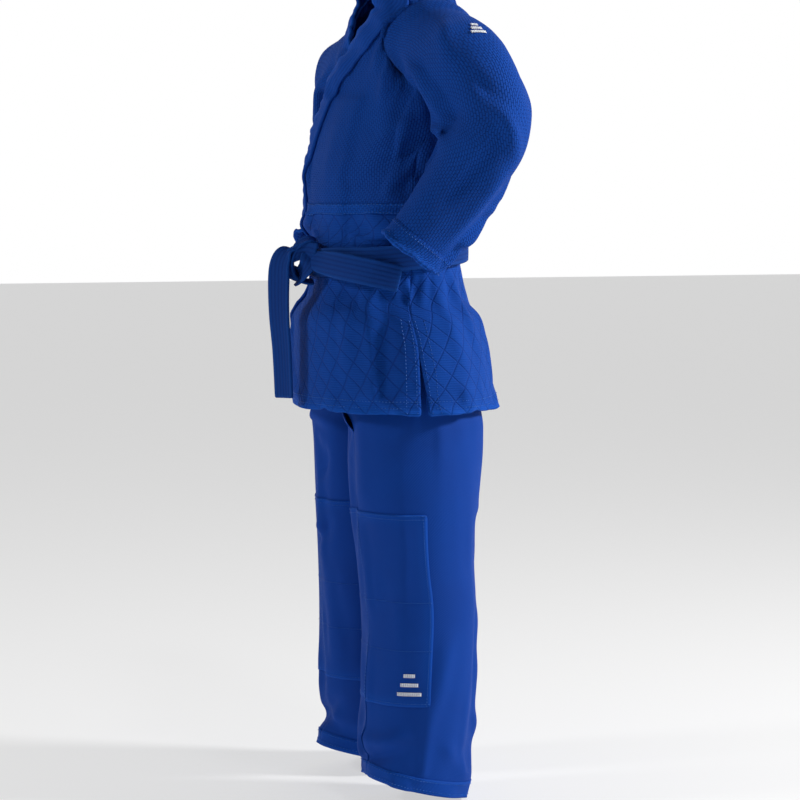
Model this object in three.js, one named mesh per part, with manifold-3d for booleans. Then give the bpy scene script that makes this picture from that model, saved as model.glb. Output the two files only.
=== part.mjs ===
// A judo uniform as it sits on a standing wearer with both hands on the hips: a wrapped jacket with
// sleeves and a split skirt, a belt tied twice round the waist, and loose trousers with knee patches.
// Units are millimetres. +Z is up, the wearer faces -Y, and the wearer's left is +X.
// The origin is the centre of the wearer's waist at belt height.
import * as THREE from "three";
import { mergeVertices } from "three/addons/utils/BufferGeometryUtils.js";
import Module from "manifold-3d";

const wasm = await Module();
wasm.setup();

// ---- Driving dimensions -------------------------------------------------------------------------
const JACKET_CLOTH = 4; // thickness of the quilted jacket weave
const TROUSER_CLOTH = 3; // thickness of the trouser drill
const SEAM_GAP = 0.5; // between two panels that are sewn edge to edge
const LAYER_GAP = 1.6; // between two layers that lie on each other
const EDGE_GAP = 2.0; // between a lapel and the front panel, and between two skirt flaps above a vent

const WAIST_SEAM_Z = 112; // where the upper body meets the skirt cloth
const WAIST_TAPE_HEIGHT = 20;
const SKIRT_TOP_Z = -44; // just under the belt, where the skirt flaps hinge
const VENT_TOP_Z = -80; // the side vents end here
const JACKET_HEM_Z = -228;
const NECK_Z = 496;
const COLLAR_HEIGHT = 42;
const LAPEL_WIDTH = 45;
const LAPEL_THICKNESS = 7;
const WRAP_CLEARANCE = 3.6; // between the left front and the right front that it lies over
const WRAP_LIFT = JACKET_CLOTH + WRAP_CLEARANCE;
const SIDE_SEAM_ANGLE = 77; // from the front centre line, at the vents
const VENT_HALF_GAP = 2.2; // degrees, at the hem
const FACING_WIDTH = 28;
const FACING_THICKNESS = 2;
const FACING_INSET = 4; // between a facing and the flap that it backs
const FACING_MARGIN = 1.2; // degrees, from the flap's edge to the facing

const BELT_WIDTH = 45;
const BELT_THICKNESS = 3.6;
const BELT_CLEARANCE = 3.6; // outside the back panel
const BELT_Z = 29; // the belt's middle, at the wearer's sides
const BELT_TILT = 16; // the belt is this much lower in front, and higher behind
const BELT_END_LENGTH = 230;
const SIDE_END_ANGLE = 60; // how far the side end reaches round the waist
const KNOT_DEPTH = 44;
const KNOT_X = -8;

const ARMHOLE_RADIUS = 80;
const ARMHOLE_CLEARANCE = 6;
const SLEEVE_HEAD = ARMHOLE_RADIUS - ARMHOLE_CLEARANCE;
const SHOULDER = { y: 46, z: 375 }; // the shoulder's swing axis runs along X through here
const SLEEVE_SEAM_GAP = 0.002; // turns, each side of the seams between the sleeve's two halves
const CUFF_LENGTH = 40;

const WAISTBAND_Z = 8; // lower edge of the drawcord channel
const WAISTBAND_HEIGHT = 35;
const TROUSER_SEAM_ANGLE = 89.5; // from the front or back centre line to the side seams
const SEAT_BOTTOM_Z = -176;
const GUSSET_WIDTH = 56;
const GUSSET_FRONT_Y = 14;
const GUSSET_BACK_Y = 112;
const LEG_TOP_Z = -185;
const KNEE_Z = -392; // the knees' bending axis runs along X at this height
const KNEE_BACK_RISE = 56; // the thigh's lower edge is this much higher behind, to leave room to bend
const KNEE_LAP = 8; // the shin reaches this far up inside the thigh
const KNEE_NEST = 9; // the shin is this much smaller all round where it is inside the thigh
const LEG_HEM_Z = -886;
const LEG_HEM_RISE = 12; // the hem is this much higher in front and lower behind
const HEM_BAND_HEIGHT = 36;
const PATCH_TOP_Z = -398;
const PATCH_BOTTOM_Z = -723;
const PATCH_THICKNESS = 2;
const PATCH_GAP = 3.2; // between the shin and its patch
const PATCH_HALF_ANGLE = 84;

// ---- Body sections: height, half width, half depth, centre in Y ----------------------------------
const JACKET = [
  [-228, 222, 165, 28],
  [-170, 215, 161, 25],
  [-110, 204, 155, 20],
  [-70, 188, 147, 15],
  [-50, 171, 132, 14],
  [-30, 163, 122, 15],
  [0, 161, 117, 17],
  [50, 161, 117, 17],
  [76, 164, 119, 16],
  [94, 170, 124, 16],
  [121, 174, 126, 16],
  [205, 178, 125, 25],
  [296, 180, 119, 45],
  [360, 180, 109, 53],
  [410, 168, 94, 57],
  [440, 148, 82, 58],
  [465, 120, 72, 58],
  [490, 93, 64, 57],
  [505, 78, 60, 56],
];
const HIPS = [
  [-178, 184, 138, 25],
  [-150, 174, 135, 24],
  [-110, 160, 129, 20],
  [-60, 154, 121, 13],
  [-25, 150, 110, 14],
  [10, 150, 104, 18],
  [45, 151, 104, 18],
];
// Trouser legs: height, centre in X, centre in Y, half width, half depth.
const LEFT_LEG = [
  [-900, 128, 6, 84, 90],
  [-814, 125, 12, 88, 96],
  [-729, 122, 21, 92, 99],
  [-644, 119, 28, 94, 101],
  [-559, 115, 32, 94, 102],
  [-491, 112, 27, 92, 103],
  [-389, 108, 24, 97, 115],
  [-304, 104, 27, 98, 121],
  [-236, 103, 25, 97, 122],
  [-185, 102, 23, 96, 120],
];
const RIGHT_LEG = [
  [-900, 128, 20, 84, 98],
  [-814, 125, 43, 86, 94],
  [-729, 122, 38, 90, 97],
  [-644, 119, 34, 93, 100],
  [-559, 115, 31, 94, 102],
  [-491, 112, 28, 92, 103],
  [-389, 108, 30, 97, 112],
  [-304, 104, 31, 98, 118],
  [-236, 103, 28, 97, 120],
  [-185, 102, 25, 96, 118],
];
// Outer edge of each lapel: height, angle from the front centre line. The left front lies on top.
const LEFT_LAPEL_EDGE = [
  [-228, -42],
  [0, -46],
  [60, -42],
  [121, -38],
  [175, -35],
  [205, -31],
  [296, -18],
  [383, 2],
  [445, 26],
  [496, 62],
];
const RIGHT_LAPEL_EDGE = [
  [-228, 20],
  [0, 24],
  [60, 24],
  [121, 22],
  [175, 20],
  [205, 17],
  [296, 7],
  [383, -9],
  [445, -30],
  [496, -62],
];
// Sleeve centre line from the armhole to the cuff: x, y, z, radius across, radius fore and aft.
const SLEEVE = [
  [140, SHOULDER.y, SHOULDER.z, SLEEVE_HEAD, SLEEVE_HEAD],
  [182, SHOULDER.y, SHOULDER.z, SLEEVE_HEAD, SLEEVE_HEAD],
  [238, 50, 345, SLEEVE_HEAD, SLEEVE_HEAD + 2],
  [284, 64, 285, SLEEVE_HEAD + 4, SLEEVE_HEAD + 5],
  [299, 66, 225, SLEEVE_HEAD, SLEEVE_HEAD + 1],
  [272, 30, 150, 70, 76],
  [248, -10, 86, 62, 70],
  [230, -46, 36, 54, 62],
];

// ---- Helpers ------------------------------------------------------------------------------------
const rad = THREE.MathUtils.degToRad;
const lerp = THREE.MathUtils.lerp;
const smooth = THREE.MathUtils.smoothstep;

// The other columns of a table of rows at the first column's value x, on a smooth curve.
function read(rows, x) {
  const last = rows.length - 1;
  let i = 0;
  while (i < last - 1 && x > rows[i + 1][0]) i++;
  const [p, a, b, q] = [rows[Math.max(i - 1, 0)], rows[i], rows[i + 1], rows[Math.min(i + 2, last)]];
  const span = b[0] - a[0];
  const t = THREE.MathUtils.clamp((x - a[0]) / span, 0, 1);
  return a.slice(1).map((_, k) => {
    const c = k + 1;
    const before = i > 0 ? ((b[c] - p[c]) / (b[0] - p[0])) * span : b[c] - a[c];
    const after = i < last - 1 ? ((q[c] - a[c]) / (q[0] - a[0])) * span : b[c] - a[c];
    const [t2, t3] = [t * t, t * t * t];
    return (
      (2 * t3 - 3 * t2 + 1) * a[c] + (t3 - 2 * t2 + t) * before + (3 * t2 - 2 * t3) * b[c] + (t3 - t2) * after
    );
  });
}

// A point on an elliptical section table, w outside its surface. The angle runs from the front to the left.
function around(rows, degrees, z, w) {
  const [halfWidth, halfDepth, centreY] = read(rows, z);
  const angle = rad(degrees);
  return new THREE.Vector3(
    (halfWidth + w) * Math.sin(angle),
    centreY - (halfDepth + w) * Math.cos(angle),
    z,
  );
}

// A panel of cloth: a box of nu by nv cells bent by place(u, v, w), where u runs round the wearer to the
// left, v runs up and w runs outwards through the cloth, each from 0 to 1.
function panel(nu, nv, place) {
  const geometry = new THREE.BoxGeometry(1, 1, 1, nu, nv, 1);
  const p = geometry.attributes.position;
  for (let i = 0; i < p.count; i++) {
    const at = place(p.getX(i) + 0.5, p.getY(i) + 0.5, p.getZ(i) + 0.5);
    p.setXYZ(i, at.x, at.y, at.z);
  }
  return geometry;
}

// A closed ring of cloth, such as a sleeve: place(u, v, w) as above, with u from 0 to 1 all the way round.
function ring(nu, nv, place) {
  const profile = [];
  for (let k = 0; k <= nv; k++) profile.push(new THREE.Vector2(2, k / nv));
  for (let k = nv; k >= 0; k--) profile.push(new THREE.Vector2(1, k / nv));
  profile.push(new THREE.Vector2(2, 0));
  const geometry = new THREE.LatheGeometry(profile, nu);
  const p = geometry.attributes.position;
  for (let i = 0; i < p.count; i++) {
    const [x, y, z] = [p.getX(i), p.getY(i), p.getZ(i)];
    const turn = Math.atan2(x, z) / (2 * Math.PI);
    const at = place(turn < -1e-6 ? turn + 1 : Math.max(turn, 0), y, Math.hypot(x, z) - 1);
    p.setXYZ(i, at.x, at.y, at.z);
  }
  return geometry;
}

function solid(geometry) {
  const bare = new THREE.BufferGeometry().setAttribute("position", geometry.getAttribute("position"));
  if (geometry.index) bare.setIndex(geometry.index);
  const merged = mergeVertices(bare.toNonIndexed(), 1e-4);
  return new wasm.Manifold(
    new wasm.Mesh({
      numProp: 3,
      vertProperties: merged.attributes.position.array,
      triVerts: new Uint32Array(merged.index.array),
    }),
  );
}

function geometryOf(manifold) {
  const mesh = manifold.getMesh();
  const geometry = new THREE.BufferGeometry();
  geometry.setAttribute("position", new THREE.BufferAttribute(new Float32Array(mesh.vertProperties), 3));
  geometry.setIndex(new THREE.BufferAttribute(new Uint32Array(mesh.triVerts), 1));
  geometry.computeVertexNormals();
  return geometry;
}

const uniform = new THREE.Group();
const cloth = (color) => new THREE.MeshStandardMaterial({ color, roughness: 0.9, metalness: 0 });
const JACKET_WEAVE = cloth(0x0b47a0);
const SKIRT_WEAVE = cloth(0x0a429a);
const DRILL = cloth(0x0743a6);
const BELT_COTTON = cloth(0x0a2f80);
const THREAD_WHITE = cloth(0xe8ecf4);

function add(name, geometry, material) {
  const mesh = new THREE.Mesh(geometry, material);
  mesh.name = name;
  uniform.add(mesh);
  return mesh;
}

// Adds a piece made for the wearer's left, and its mirror image for the right.
function addPair(name, geometry, material) {
  add("left_" + name, geometry, material);
  add("right_" + name, geometry, material).scale.x = -1;
}

// ---- The jacket's surface -----------------------------------------------------------------------
// The side seam swings back to the shoulder seam above the armhole.
const sideAngle = (z) => lerp(SIDE_SEAM_ANGLE, 90, smooth(z, 200, 300));
const leftLapelEdge = (z) => read(LEFT_LAPEL_EDGE, z)[0];
const rightLapelEdge = (z) => read(RIGHT_LAPEL_EDGE, z)[0];

// The angle that a length takes up across a slanting edge, which is a function of height.
function slantAngle(length, edge, z) {
  const [halfWidth, halfDepth] = read(JACKET, z);
  const step = 4;
  const radius = (halfWidth + halfDepth) / 2;
  const slope = (rad(edge(z + step) - edge(z - step)) * radius) / (2 * step);
  return THREE.MathUtils.radToDeg((length * Math.hypot(1, slope)) / radius);
}

// The left front lies outside the right front, and comes down to the back panel at its side seam.
function lift(degrees) {
  const side = THREE.MathUtils.euclideanModulo(degrees + 180, 360) - 180;
  return WRAP_LIFT * (1 - smooth(side, 42, 74)) * smooth(side, -86, -64);
}
const armhole = solid(
  new THREE.CylinderGeometry(ARMHOLE_RADIUS, ARMHOLE_RADIUS, 400, 32)
    .rotateZ(Math.PI / 2)
    .translate(260, SHOULDER.y, SHOULDER.z),
);
const otherArmhole = armhole.mirror([1, 0, 0]);

// A jacket panel between two edges, each a function of height, cut out round both armholes.
function jacketPanel([nu, nv], [from, to], [low, high], [inner, outer], lifted = () => 0) {
  const made = panel(nu, nv, (u, v, w) => {
    const z = lerp(low, high, v);
    const degrees = lerp(from(z), to(z), u);
    return around(JACKET, degrees, z, lerp(inner, outer, w) + lifted(degrees));
  });
  if (high < SHOULDER.z - ARMHOLE_RADIUS) return made;
  return geometryOf(solid(made).subtract(armhole).subtract(otherArmhole));
}

const halfGap = (z, gap = SEAM_GAP) => THREE.MathUtils.radToDeg(gap / 2 / read(JACKET, z)[0]);
const leftSide = (z) => sideAngle(z) - halfGap(z);
const leftBack = (z) => sideAngle(z) + halfGap(z);
const rightSide = (z) => -leftSide(z);
const rightBack = (z) => 360 - leftBack(z);
const leftEdge = (z) => leftLapelEdge(z) + slantAngle(EDGE_GAP, leftLapelEdge, z);
const rightEdge = (z) => rightLapelEdge(z) - slantAngle(EDGE_GAP, rightLapelEdge, z);
const BODY = [-JACKET_CLOTH, 0];
const ON_BODY = [LAYER_GAP, LAYER_GAP + 1.6];

function addJacketBody() {
  const upper = [WAIST_SEAM_Z + SEAM_GAP, NECK_Z];
  add("left_front_panel", jacketPanel([8, 10], [leftEdge, leftSide], upper, BODY, lift), JACKET_WEAVE);
  add("right_front_panel", jacketPanel([8, 10], [rightSide, rightEdge], upper, BODY), JACKET_WEAVE);
  add("back_panel", jacketPanel([12, 10], [leftBack, rightBack], upper, BODY), JACKET_WEAVE);
  const waist = [SKIRT_TOP_Z, WAIST_SEAM_Z];
  add("left_waist_panel", jacketPanel([10, 6], [leftEdge, leftSide], waist, BODY, lift), SKIRT_WEAVE);
  add("right_waist_panel", jacketPanel([8, 6], [rightSide, rightEdge], waist, BODY), SKIRT_WEAVE);
  add("back_waist_panel", jacketPanel([12, 6], [leftBack, rightBack], waist, BODY), SKIRT_WEAVE);
}

// Tape that covers the waist seam outside, in three lengths with the panels' own edges.
function addWaistTapes() {
  const heights = [WAIST_SEAM_Z - WAIST_TAPE_HEIGHT / 2, WAIST_SEAM_Z + WAIST_TAPE_HEIGHT / 2];
  add("left_waist_tape", jacketPanel([10, 1], [leftEdge, leftSide], heights, ON_BODY, lift), SKIRT_WEAVE);
  add("back_waist_tape", jacketPanel([12, 1], [leftBack, rightBack], heights, ON_BODY), SKIRT_WEAVE);
  const clear = (z) => leftLapelEdge(z) - slantAngle(LAPEL_WIDTH + 12, leftLapelEdge, z);
  add("right_waist_tape", jacketPanel([4, 1], [rightSide, clear], heights, ON_BODY), SKIRT_WEAVE);
}

// The lapel is a thick quilted band along each front edge. The right one lies under the left front.
function addLapels() {
  const leftInner = (z) => leftLapelEdge(z) - slantAngle(LAPEL_WIDTH, leftLapelEdge, z);
  const rightInner = (z) => rightLapelEdge(z) + slantAngle(LAPEL_WIDTH, rightLapelEdge, z);
  const left = [leftInner, leftLapelEdge];
  const right = [rightLapelEdge, rightInner];
  const proud = [LAYER_GAP - LAPEL_THICKNESS / 2, LAYER_GAP + LAPEL_THICKNESS / 2];
  const under = [-LAPEL_THICKNESS, 0];
  const body = [SKIRT_TOP_Z, NECK_Z - 4];
  const skirt = [JACKET_HEM_Z, SKIRT_TOP_Z - SEAM_GAP];
  add("left_lapel", jacketPanel([2, 16], left, body, proud, lift), JACKET_WEAVE);
  add("right_lapel", jacketPanel([2, 16], right, body, under), JACKET_WEAVE);
  add("left_skirt_lapel", jacketPanel([2, 6], left, skirt, proud, lift), SKIRT_WEAVE);
  add("right_skirt_lapel", jacketPanel([2, 6], right, skirt, under), SKIRT_WEAVE);
}

// The collar stands round the back of the neck, between the tops of the two lapels.
function addCollar() {
  const top = leftLapelEdge(NECK_Z) + 2;
  const [neckWidth, neckDepth, neckY] = read(JACKET, NECK_Z);
  const collar = panel(12, 2, (u, v, w) => {
    const angle = rad(lerp(top, 360 - top, u));
    const out = lerp(0, LAPEL_THICKNESS, w) - 12 * v;
    return new THREE.Vector3(
      (neckWidth + out) * Math.sin(angle),
      neckY - (neckDepth + out) * Math.cos(angle),
      lerp(NECK_Z + SEAM_GAP, NECK_Z + COLLAR_HEIGHT, v) + 8 * Math.cos(angle) * v - 8 * v,
    );
  });
  add("back_collar", collar, JACKET_WEAVE);
}

// Doubled cloth over each shoulder, from the collar to the armhole.
function addShoulderYokes() {
  const yoke = jacketPanel([4, 3], [() => 66, () => 118], [436, NECK_Z - 6], ON_BODY, lift);
  addPair("shoulder_yoke", yoke, JACKET_WEAVE);
}

// A gusset that strengthens the side seam under each arm.
function addUnderarmGussets() {
  const top = SHOULDER.z - ARMHOLE_RADIUS - ARMHOLE_CLEARANCE;
  const gusset = jacketPanel([2, 2], [() => 76, () => 104], [top - 58, top], ON_BODY);
  addPair("underarm_gusset", gusset, JACKET_WEAVE);
}

// ---- The skirt flaps below the vents ------------------------------------------------------------
function addSkirt() {
  const heights = [JACKET_HEM_Z, SKIRT_TOP_Z - SEAM_GAP];
  const open = (z) => VENT_HALF_GAP * smooth(-z, -VENT_TOP_Z, -JACKET_HEM_Z) + halfGap(z, EDGE_GAP);
  const left = (z) => SIDE_SEAM_ANGLE - open(z);
  const back = (z) => SIDE_SEAM_ANGLE + open(z);
  const right = (z) => -left(z);
  const backRight = (z) => 360 - back(z);
  add("left_skirt_flap", jacketPanel([10, 6], [leftEdge, left], heights, BODY, lift), SKIRT_WEAVE);
  add("right_skirt_flap", jacketPanel([8, 6], [right, rightEdge], heights, BODY), SKIRT_WEAVE);
  add("back_skirt_flap", jacketPanel([12, 6], [back, backRight], heights, BODY), SKIRT_WEAVE);
  const wide = (z) => THREE.MathUtils.radToDeg(FACING_WIDTH / read(JACKET, z)[1]);
  const depth = -JACKET_CLOTH - FACING_INSET;
  const inside = [depth - FACING_THICKNESS, depth];
  // A facing runs down the vent edge of a flap, on the side that forward says.
  const addFacing = (name, edge, forward) => {
    const near = (z) => edge(z) + forward * FACING_MARGIN;
    const far = (z) => edge(z) + forward * (FACING_MARGIN + wide(z));
    const sides = forward > 0 ? [near, far] : [far, near];
    add(name, jacketPanel([1, 6], sides, [JACKET_HEM_Z, VENT_TOP_Z], inside), SKIRT_WEAVE);
  };
  addFacing("left_vent_facing", left, -1);
  addFacing("right_vent_facing", right, 1);
  addFacing("back_left_vent_facing", back, 1);
  addFacing("back_right_vent_facing", backRight, -1);
}

// ---- Sleeves ------------------------------------------------------------------------------------
const sleeveLine = new THREE.CatmullRomCurve3(
  SLEEVE.map(([x, y, z]) => new THREE.Vector3(x, y, z)),
  false,
  "centripetal",
);
const sleeveSizes = SLEEVE.map(([, , , across, foreAft], k) => [k / (SLEEVE.length - 1), across, foreAft]);
const SLEEVE_LENGTH = sleeveLine.getLength();

// A point on the sleeve: along is its share of the centre line, and turn goes once round from behind
// over the top.
function onSleeve(along, turn, w) {
  const share = THREE.MathUtils.clamp(along, 0, 1);
  const tangent = sleeveLine.getTangent(share);
  const rearward = new THREE.Vector3(0, 1, 0).addScaledVector(tangent, -tangent.y).normalize();
  const upward = new THREE.Vector3().crossVectors(tangent, rearward);
  const [across, foreAft] = read(sleeveSizes, share);
  const angle = 2 * Math.PI * turn;
  return sleeveLine
    .getPoint(share)
    .addScaledVector(rearward, (foreAft + w) * Math.cos(angle))
    .addScaledVector(upward, (across + w) * Math.sin(angle));
}

function addSleeves() {
  const cuff = 1 - CUFF_LENGTH / SLEEVE_LENGTH;
  const gap = SEAM_GAP / SLEEVE_LENGTH;
  const half = (start) =>
    panel(10, 12, (u, v, w) => {
      const turn = start + lerp(SLEEVE_SEAM_GAP, 0.5 - SLEEVE_SEAM_GAP, u);
      return onSleeve(cuff * v, turn, -JACKET_CLOTH * (1 - w));
    });
  addPair("sleeve_over", half(0), JACKET_WEAVE);
  addPair("sleeve_under", half(0.5), JACKET_WEAVE);
  const band = ring(18, 1, (u, v, w) => onSleeve(lerp(cuff + gap, 1, v), u, lerp(-JACKET_CLOTH - 2, 0, w)));
  addPair("cuff_band", band, JACKET_WEAVE);
}

// ---- Belt ---------------------------------------------------------------------------------------
const beltZ = (degrees) => BELT_Z - BELT_TILT * Math.cos(rad(degrees));

function onBelt(degrees, up, w) {
  const [halfWidth, halfDepth, centreY] = read(JACKET, 0);
  const out = BELT_CLEARANCE + 1.5 * lift(degrees) + w;
  const angle = rad(degrees);
  return new THREE.Vector3(
    (halfWidth + out) * Math.sin(angle),
    centreY - (halfDepth + out) * Math.cos(angle),
    beltZ(degrees) + up,
  );
}

function addBelt() {
  const half = BELT_WIDTH / 2;
  [0, 1].forEach((turn) => {
    const inner = turn * (BELT_THICKNESS + LAYER_GAP);
    const loop = ring(32, 1, (u, v, w) => onBelt(360 * u, lerp(-half, half, v), inner + BELT_THICKNESS * w));
    add(turn ? "belt_outer_turn" : "belt_inner_turn", loop, BELT_COTTON);
  });
}

// The knot stands out from the front of the belt as a thick rounded block.
const KNOT_IN = 2 * (BELT_THICKNESS + LAYER_GAP);
const knotFront = onBelt(0, 0, KNOT_IN);

function addKnot() {
  const bevel = 5;
  const outline = new THREE.Shape();
  outline.absellipse(0, 0, 19, 27, 0, 2 * Math.PI, false, 0);
  const core = new THREE.ExtrudeGeometry(outline, {
    depth: KNOT_DEPTH - 2 * bevel,
    bevelEnabled: true,
    bevelThickness: bevel,
    bevelSize: bevel,
    bevelOffset: -bevel,
    bevelSegments: 2,
    curveSegments: 8,
  });
  core.rotateX(Math.PI / 2).translate(KNOT_X, knotFront.y - bevel, knotFront.z);
  add("belt_knot", core, BELT_COTTON);
}

// A belt end is a strap along a line of points. across(v) is the direction of its width.
function strap(points, steps, across) {
  const line = new THREE.CatmullRomCurve3(points, false, "centripetal");
  return panel(1, steps, (u, v, w) => {
    const at = line.getPoint(v);
    const tangent = line.getTangent(v);
    const side = across(v).addScaledVector(tangent, -across(v).dot(tangent)).normalize();
    const out = new THREE.Vector3().crossVectors(side, tangent);
    return at.addScaledVector(side, BELT_WIDTH * (u - 0.5)).addScaledVector(out, BELT_THICKNESS * (w - 0.5));
  });
}

// One end hangs from the front of the knot, and the other lies back along the left hip.
function addBeltEnds() {
  const y = knotFront.y - KNOT_DEPTH - LAYER_GAP;
  const z = knotFront.z;
  const hangingLine = [
    [-5, -21, 1],
    [-3, -21, 0.5],
    [0, -16, 0.16],
    [2, -14, 0.02],
  ].map(([x, out, share]) => new THREE.Vector3(KNOT_X + x, y + out, z - share * BELT_END_LENGTH));
  const up = new THREE.Vector3(0, 0, 1);
  const turned = (v) => new THREE.Vector3(1, 0, 0).applyAxisAngle(up, rad(20 + 14 * v));
  add("belt_front_end", strap(hangingLine, 8, turned), BELT_COTTON);
  const sideLine = [0, 0.33, 0.66, 1].map((share) => {
    const droop = 36 * share ** 1.5;
    return onBelt(7 + SIDE_END_ANGLE * share, 3 - droop, KNOT_IN + 6);
  });
  add("belt_side_end", strap(sideLine, 8, () => new THREE.Vector3(0, 0, -1)), BELT_COTTON);
}

// ---- Trousers -----------------------------------------------------------------------------------
function addTrouserTop() {
  const seat = (middle) =>
    panel(8, 4, (u, v, w) => {
      const degrees = lerp(middle - TROUSER_SEAM_ANGLE, middle + TROUSER_SEAM_ANGLE, u);
      return around(HIPS, degrees, lerp(SEAT_BOTTOM_Z, WAISTBAND_Z, v), -TROUSER_CLOTH * (1 - w));
    });
  add("trouser_front_seat", seat(0), DRILL);
  add("trouser_back_seat", seat(180), DRILL);
  const channel = ring(24, 1, (u, v, w) => {
    const z = WAISTBAND_Z + SEAM_GAP + WAISTBAND_HEIGHT * v;
    return around(HIPS, 360 * u, z, lerp(-2 * TROUSER_CLOTH, 1, w));
  });
  add("trouser_waistband", channel, DRILL);
  const gusset = panel(4, 6, (u, v, w) => {
    const across = 2 + (GUSSET_WIDTH / 2 - 2) * Math.sin(Math.PI * v);
    const z = SEAT_BOTTOM_Z + 5 * Math.sin(Math.PI * u) + TROUSER_CLOTH * (1 - w);
    return new THREE.Vector3(lerp(-across, across, u), lerp(GUSSET_BACK_Y, GUSSET_FRONT_Y, v), z);
  });
  add("crotch_gusset", gusset, DRILL);
}

// A point on a trouser leg. The angle runs from the front to the wearer's side.
function onLeg(rows, degrees, z, w) {
  const [centreX, centreY, halfWidth, halfDepth] = read(rows, z);
  const angle = rad(degrees);
  return new THREE.Vector3(
    centreX + (halfWidth + w) * Math.sin(angle),
    centreY - (halfDepth + w) * Math.cos(angle),
    z,
  );
}
const hemZ = (degrees) => LEG_HEM_Z + LEG_HEM_RISE * Math.cos(rad(degrees));
const bandTop = (degrees) => hemZ(degrees) + HEM_BAND_HEIGHT;
const kneeEdge = (degrees) => KNEE_Z + (KNEE_BACK_RISE * (1 - Math.cos(rad(degrees)))) / 2;
const shinNest = (z) => -KNEE_NEST * smooth(z, KNEE_Z - 170, KNEE_Z - 50);

// A leg is a thigh and a shin, each of a front and a back panel, with a knee patch and a hem band.
function addLeg(side, rows) {
  const bent = ([from, to], [low, high], [inner, outer], nest) => (u, v, w) => {
    const degrees = lerp(from, to, u);
    const z = lerp(low(degrees), high(degrees), v);
    return onLeg(rows, degrees, z, lerp(inner, outer, w) + nest(z));
  };
  const layer = [-TROUSER_CLOTH, 0];
  const thigh = [kneeEdge, () => LEG_TOP_Z];
  const shin = [(degrees) => bandTop(degrees) + SEAM_GAP, (degrees) => kneeEdge(degrees) + KNEE_LAP];
  const patch = [() => PATCH_BOTTOM_Z, () => PATCH_TOP_Z];
  const front = [-TROUSER_SEAM_ANGLE, TROUSER_SEAM_ANGLE];
  const back = front.map((degrees) => degrees + 180);
  const covered = [-PATCH_HALF_ANGLE, PATCH_HALF_ANGLE];
  const onCloth = [PATCH_GAP, PATCH_GAP + PATCH_THICKNESS];
  const flat = () => 0;
  const pieces = [
    ["thigh_front", panel(8, 4, bent(front, thigh, layer, flat))],
    ["thigh_back", panel(8, 4, bent(back, thigh, layer, flat))],
    ["shin_front", panel(8, 8, bent(front, shin, layer, shinNest))],
    ["shin_back", panel(8, 8, bent(back, shin, layer, shinNest))],
    ["knee_patch", panel(8, 6, bent(covered, patch, onCloth, shinNest))],
    ["hem_band", ring(18, 1, bent([0, 360], [hemZ, bandTop], [-TROUSER_CLOTH - 2, 0], flat))],
  ];
  pieces.forEach(([name, geometry]) => {
    const mesh = add(side + "_" + name, geometry, DRILL);
    if (side === "right") mesh.scale.x = -1;
  });
}

// ---- Plain embroidered marks ---------------------------------------------------------------------
function addMarks() {
  const stitched = 1.2;
  const shoulder = panel(3, 3, (u, v, w) =>
    onSleeve(lerp(0.31, 0.245, v), lerp(0.275, 0.22, u), LAYER_GAP + stitched * w),
  );
  add("sleeve_mark", shoulder, THREAD_WHITE);
  const onPatch = PATCH_GAP + PATCH_THICKNESS + LAYER_GAP;
  const shin = panel(3, 3, (u, v, w) =>
    onLeg(LEFT_LEG, lerp(44, 66, u), lerp(-718, -668, v), onPatch + stitched * w),
  );
  add("shin_mark", shin, THREAD_WHITE);
}

addJacketBody();
addWaistTapes();
addLapels();
addCollar();
addShoulderYokes();
addUnderarmGussets();
addSkirt();
addSleeves();
addBelt();
addKnot();
addBeltEnds();
addTrouserTop();
addLeg("left", LEFT_LEG);
addLeg("right", RIGHT_LEG);
addMarks();

export default uniform;
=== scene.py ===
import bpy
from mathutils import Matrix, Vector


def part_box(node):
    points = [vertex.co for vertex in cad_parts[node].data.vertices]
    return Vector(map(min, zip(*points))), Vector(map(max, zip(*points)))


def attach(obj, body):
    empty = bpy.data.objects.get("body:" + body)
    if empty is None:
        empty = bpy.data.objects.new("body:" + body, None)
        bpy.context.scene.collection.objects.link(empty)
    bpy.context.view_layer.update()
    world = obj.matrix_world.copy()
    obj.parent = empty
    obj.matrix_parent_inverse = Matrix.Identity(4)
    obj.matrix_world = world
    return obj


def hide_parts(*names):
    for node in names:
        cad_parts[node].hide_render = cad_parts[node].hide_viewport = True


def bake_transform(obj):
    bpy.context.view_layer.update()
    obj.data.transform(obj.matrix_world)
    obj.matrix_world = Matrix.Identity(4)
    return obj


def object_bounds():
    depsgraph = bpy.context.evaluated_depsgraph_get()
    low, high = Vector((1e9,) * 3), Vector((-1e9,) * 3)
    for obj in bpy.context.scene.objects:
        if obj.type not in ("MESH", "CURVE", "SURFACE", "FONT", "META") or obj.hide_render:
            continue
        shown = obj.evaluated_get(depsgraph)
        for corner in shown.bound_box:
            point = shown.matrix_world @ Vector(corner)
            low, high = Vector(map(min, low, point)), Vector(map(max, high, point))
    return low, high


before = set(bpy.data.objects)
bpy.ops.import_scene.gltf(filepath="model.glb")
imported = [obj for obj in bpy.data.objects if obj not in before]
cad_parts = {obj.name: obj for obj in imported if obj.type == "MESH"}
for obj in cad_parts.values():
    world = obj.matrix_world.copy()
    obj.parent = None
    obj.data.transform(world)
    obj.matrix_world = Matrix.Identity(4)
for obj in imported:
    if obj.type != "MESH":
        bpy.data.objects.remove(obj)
CAD_BOX = [list(corner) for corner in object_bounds()]

import math

import bpy
import numpy as np
from bpy.props import FloatProperty, FloatVectorProperty, PointerProperty
from mathutils import Vector

bl_info = {
    "name": "Judo uniform",
    "version": (1, 0, 0),
    "blender": (4, 5, 0),
    "location": "3D View > Sidebar > Uniform",
    "description": "Dresses the packed frame of a judo uniform in woven, sewn and creased cloth",
    "category": "Object",
}

MM = 0.001

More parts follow.
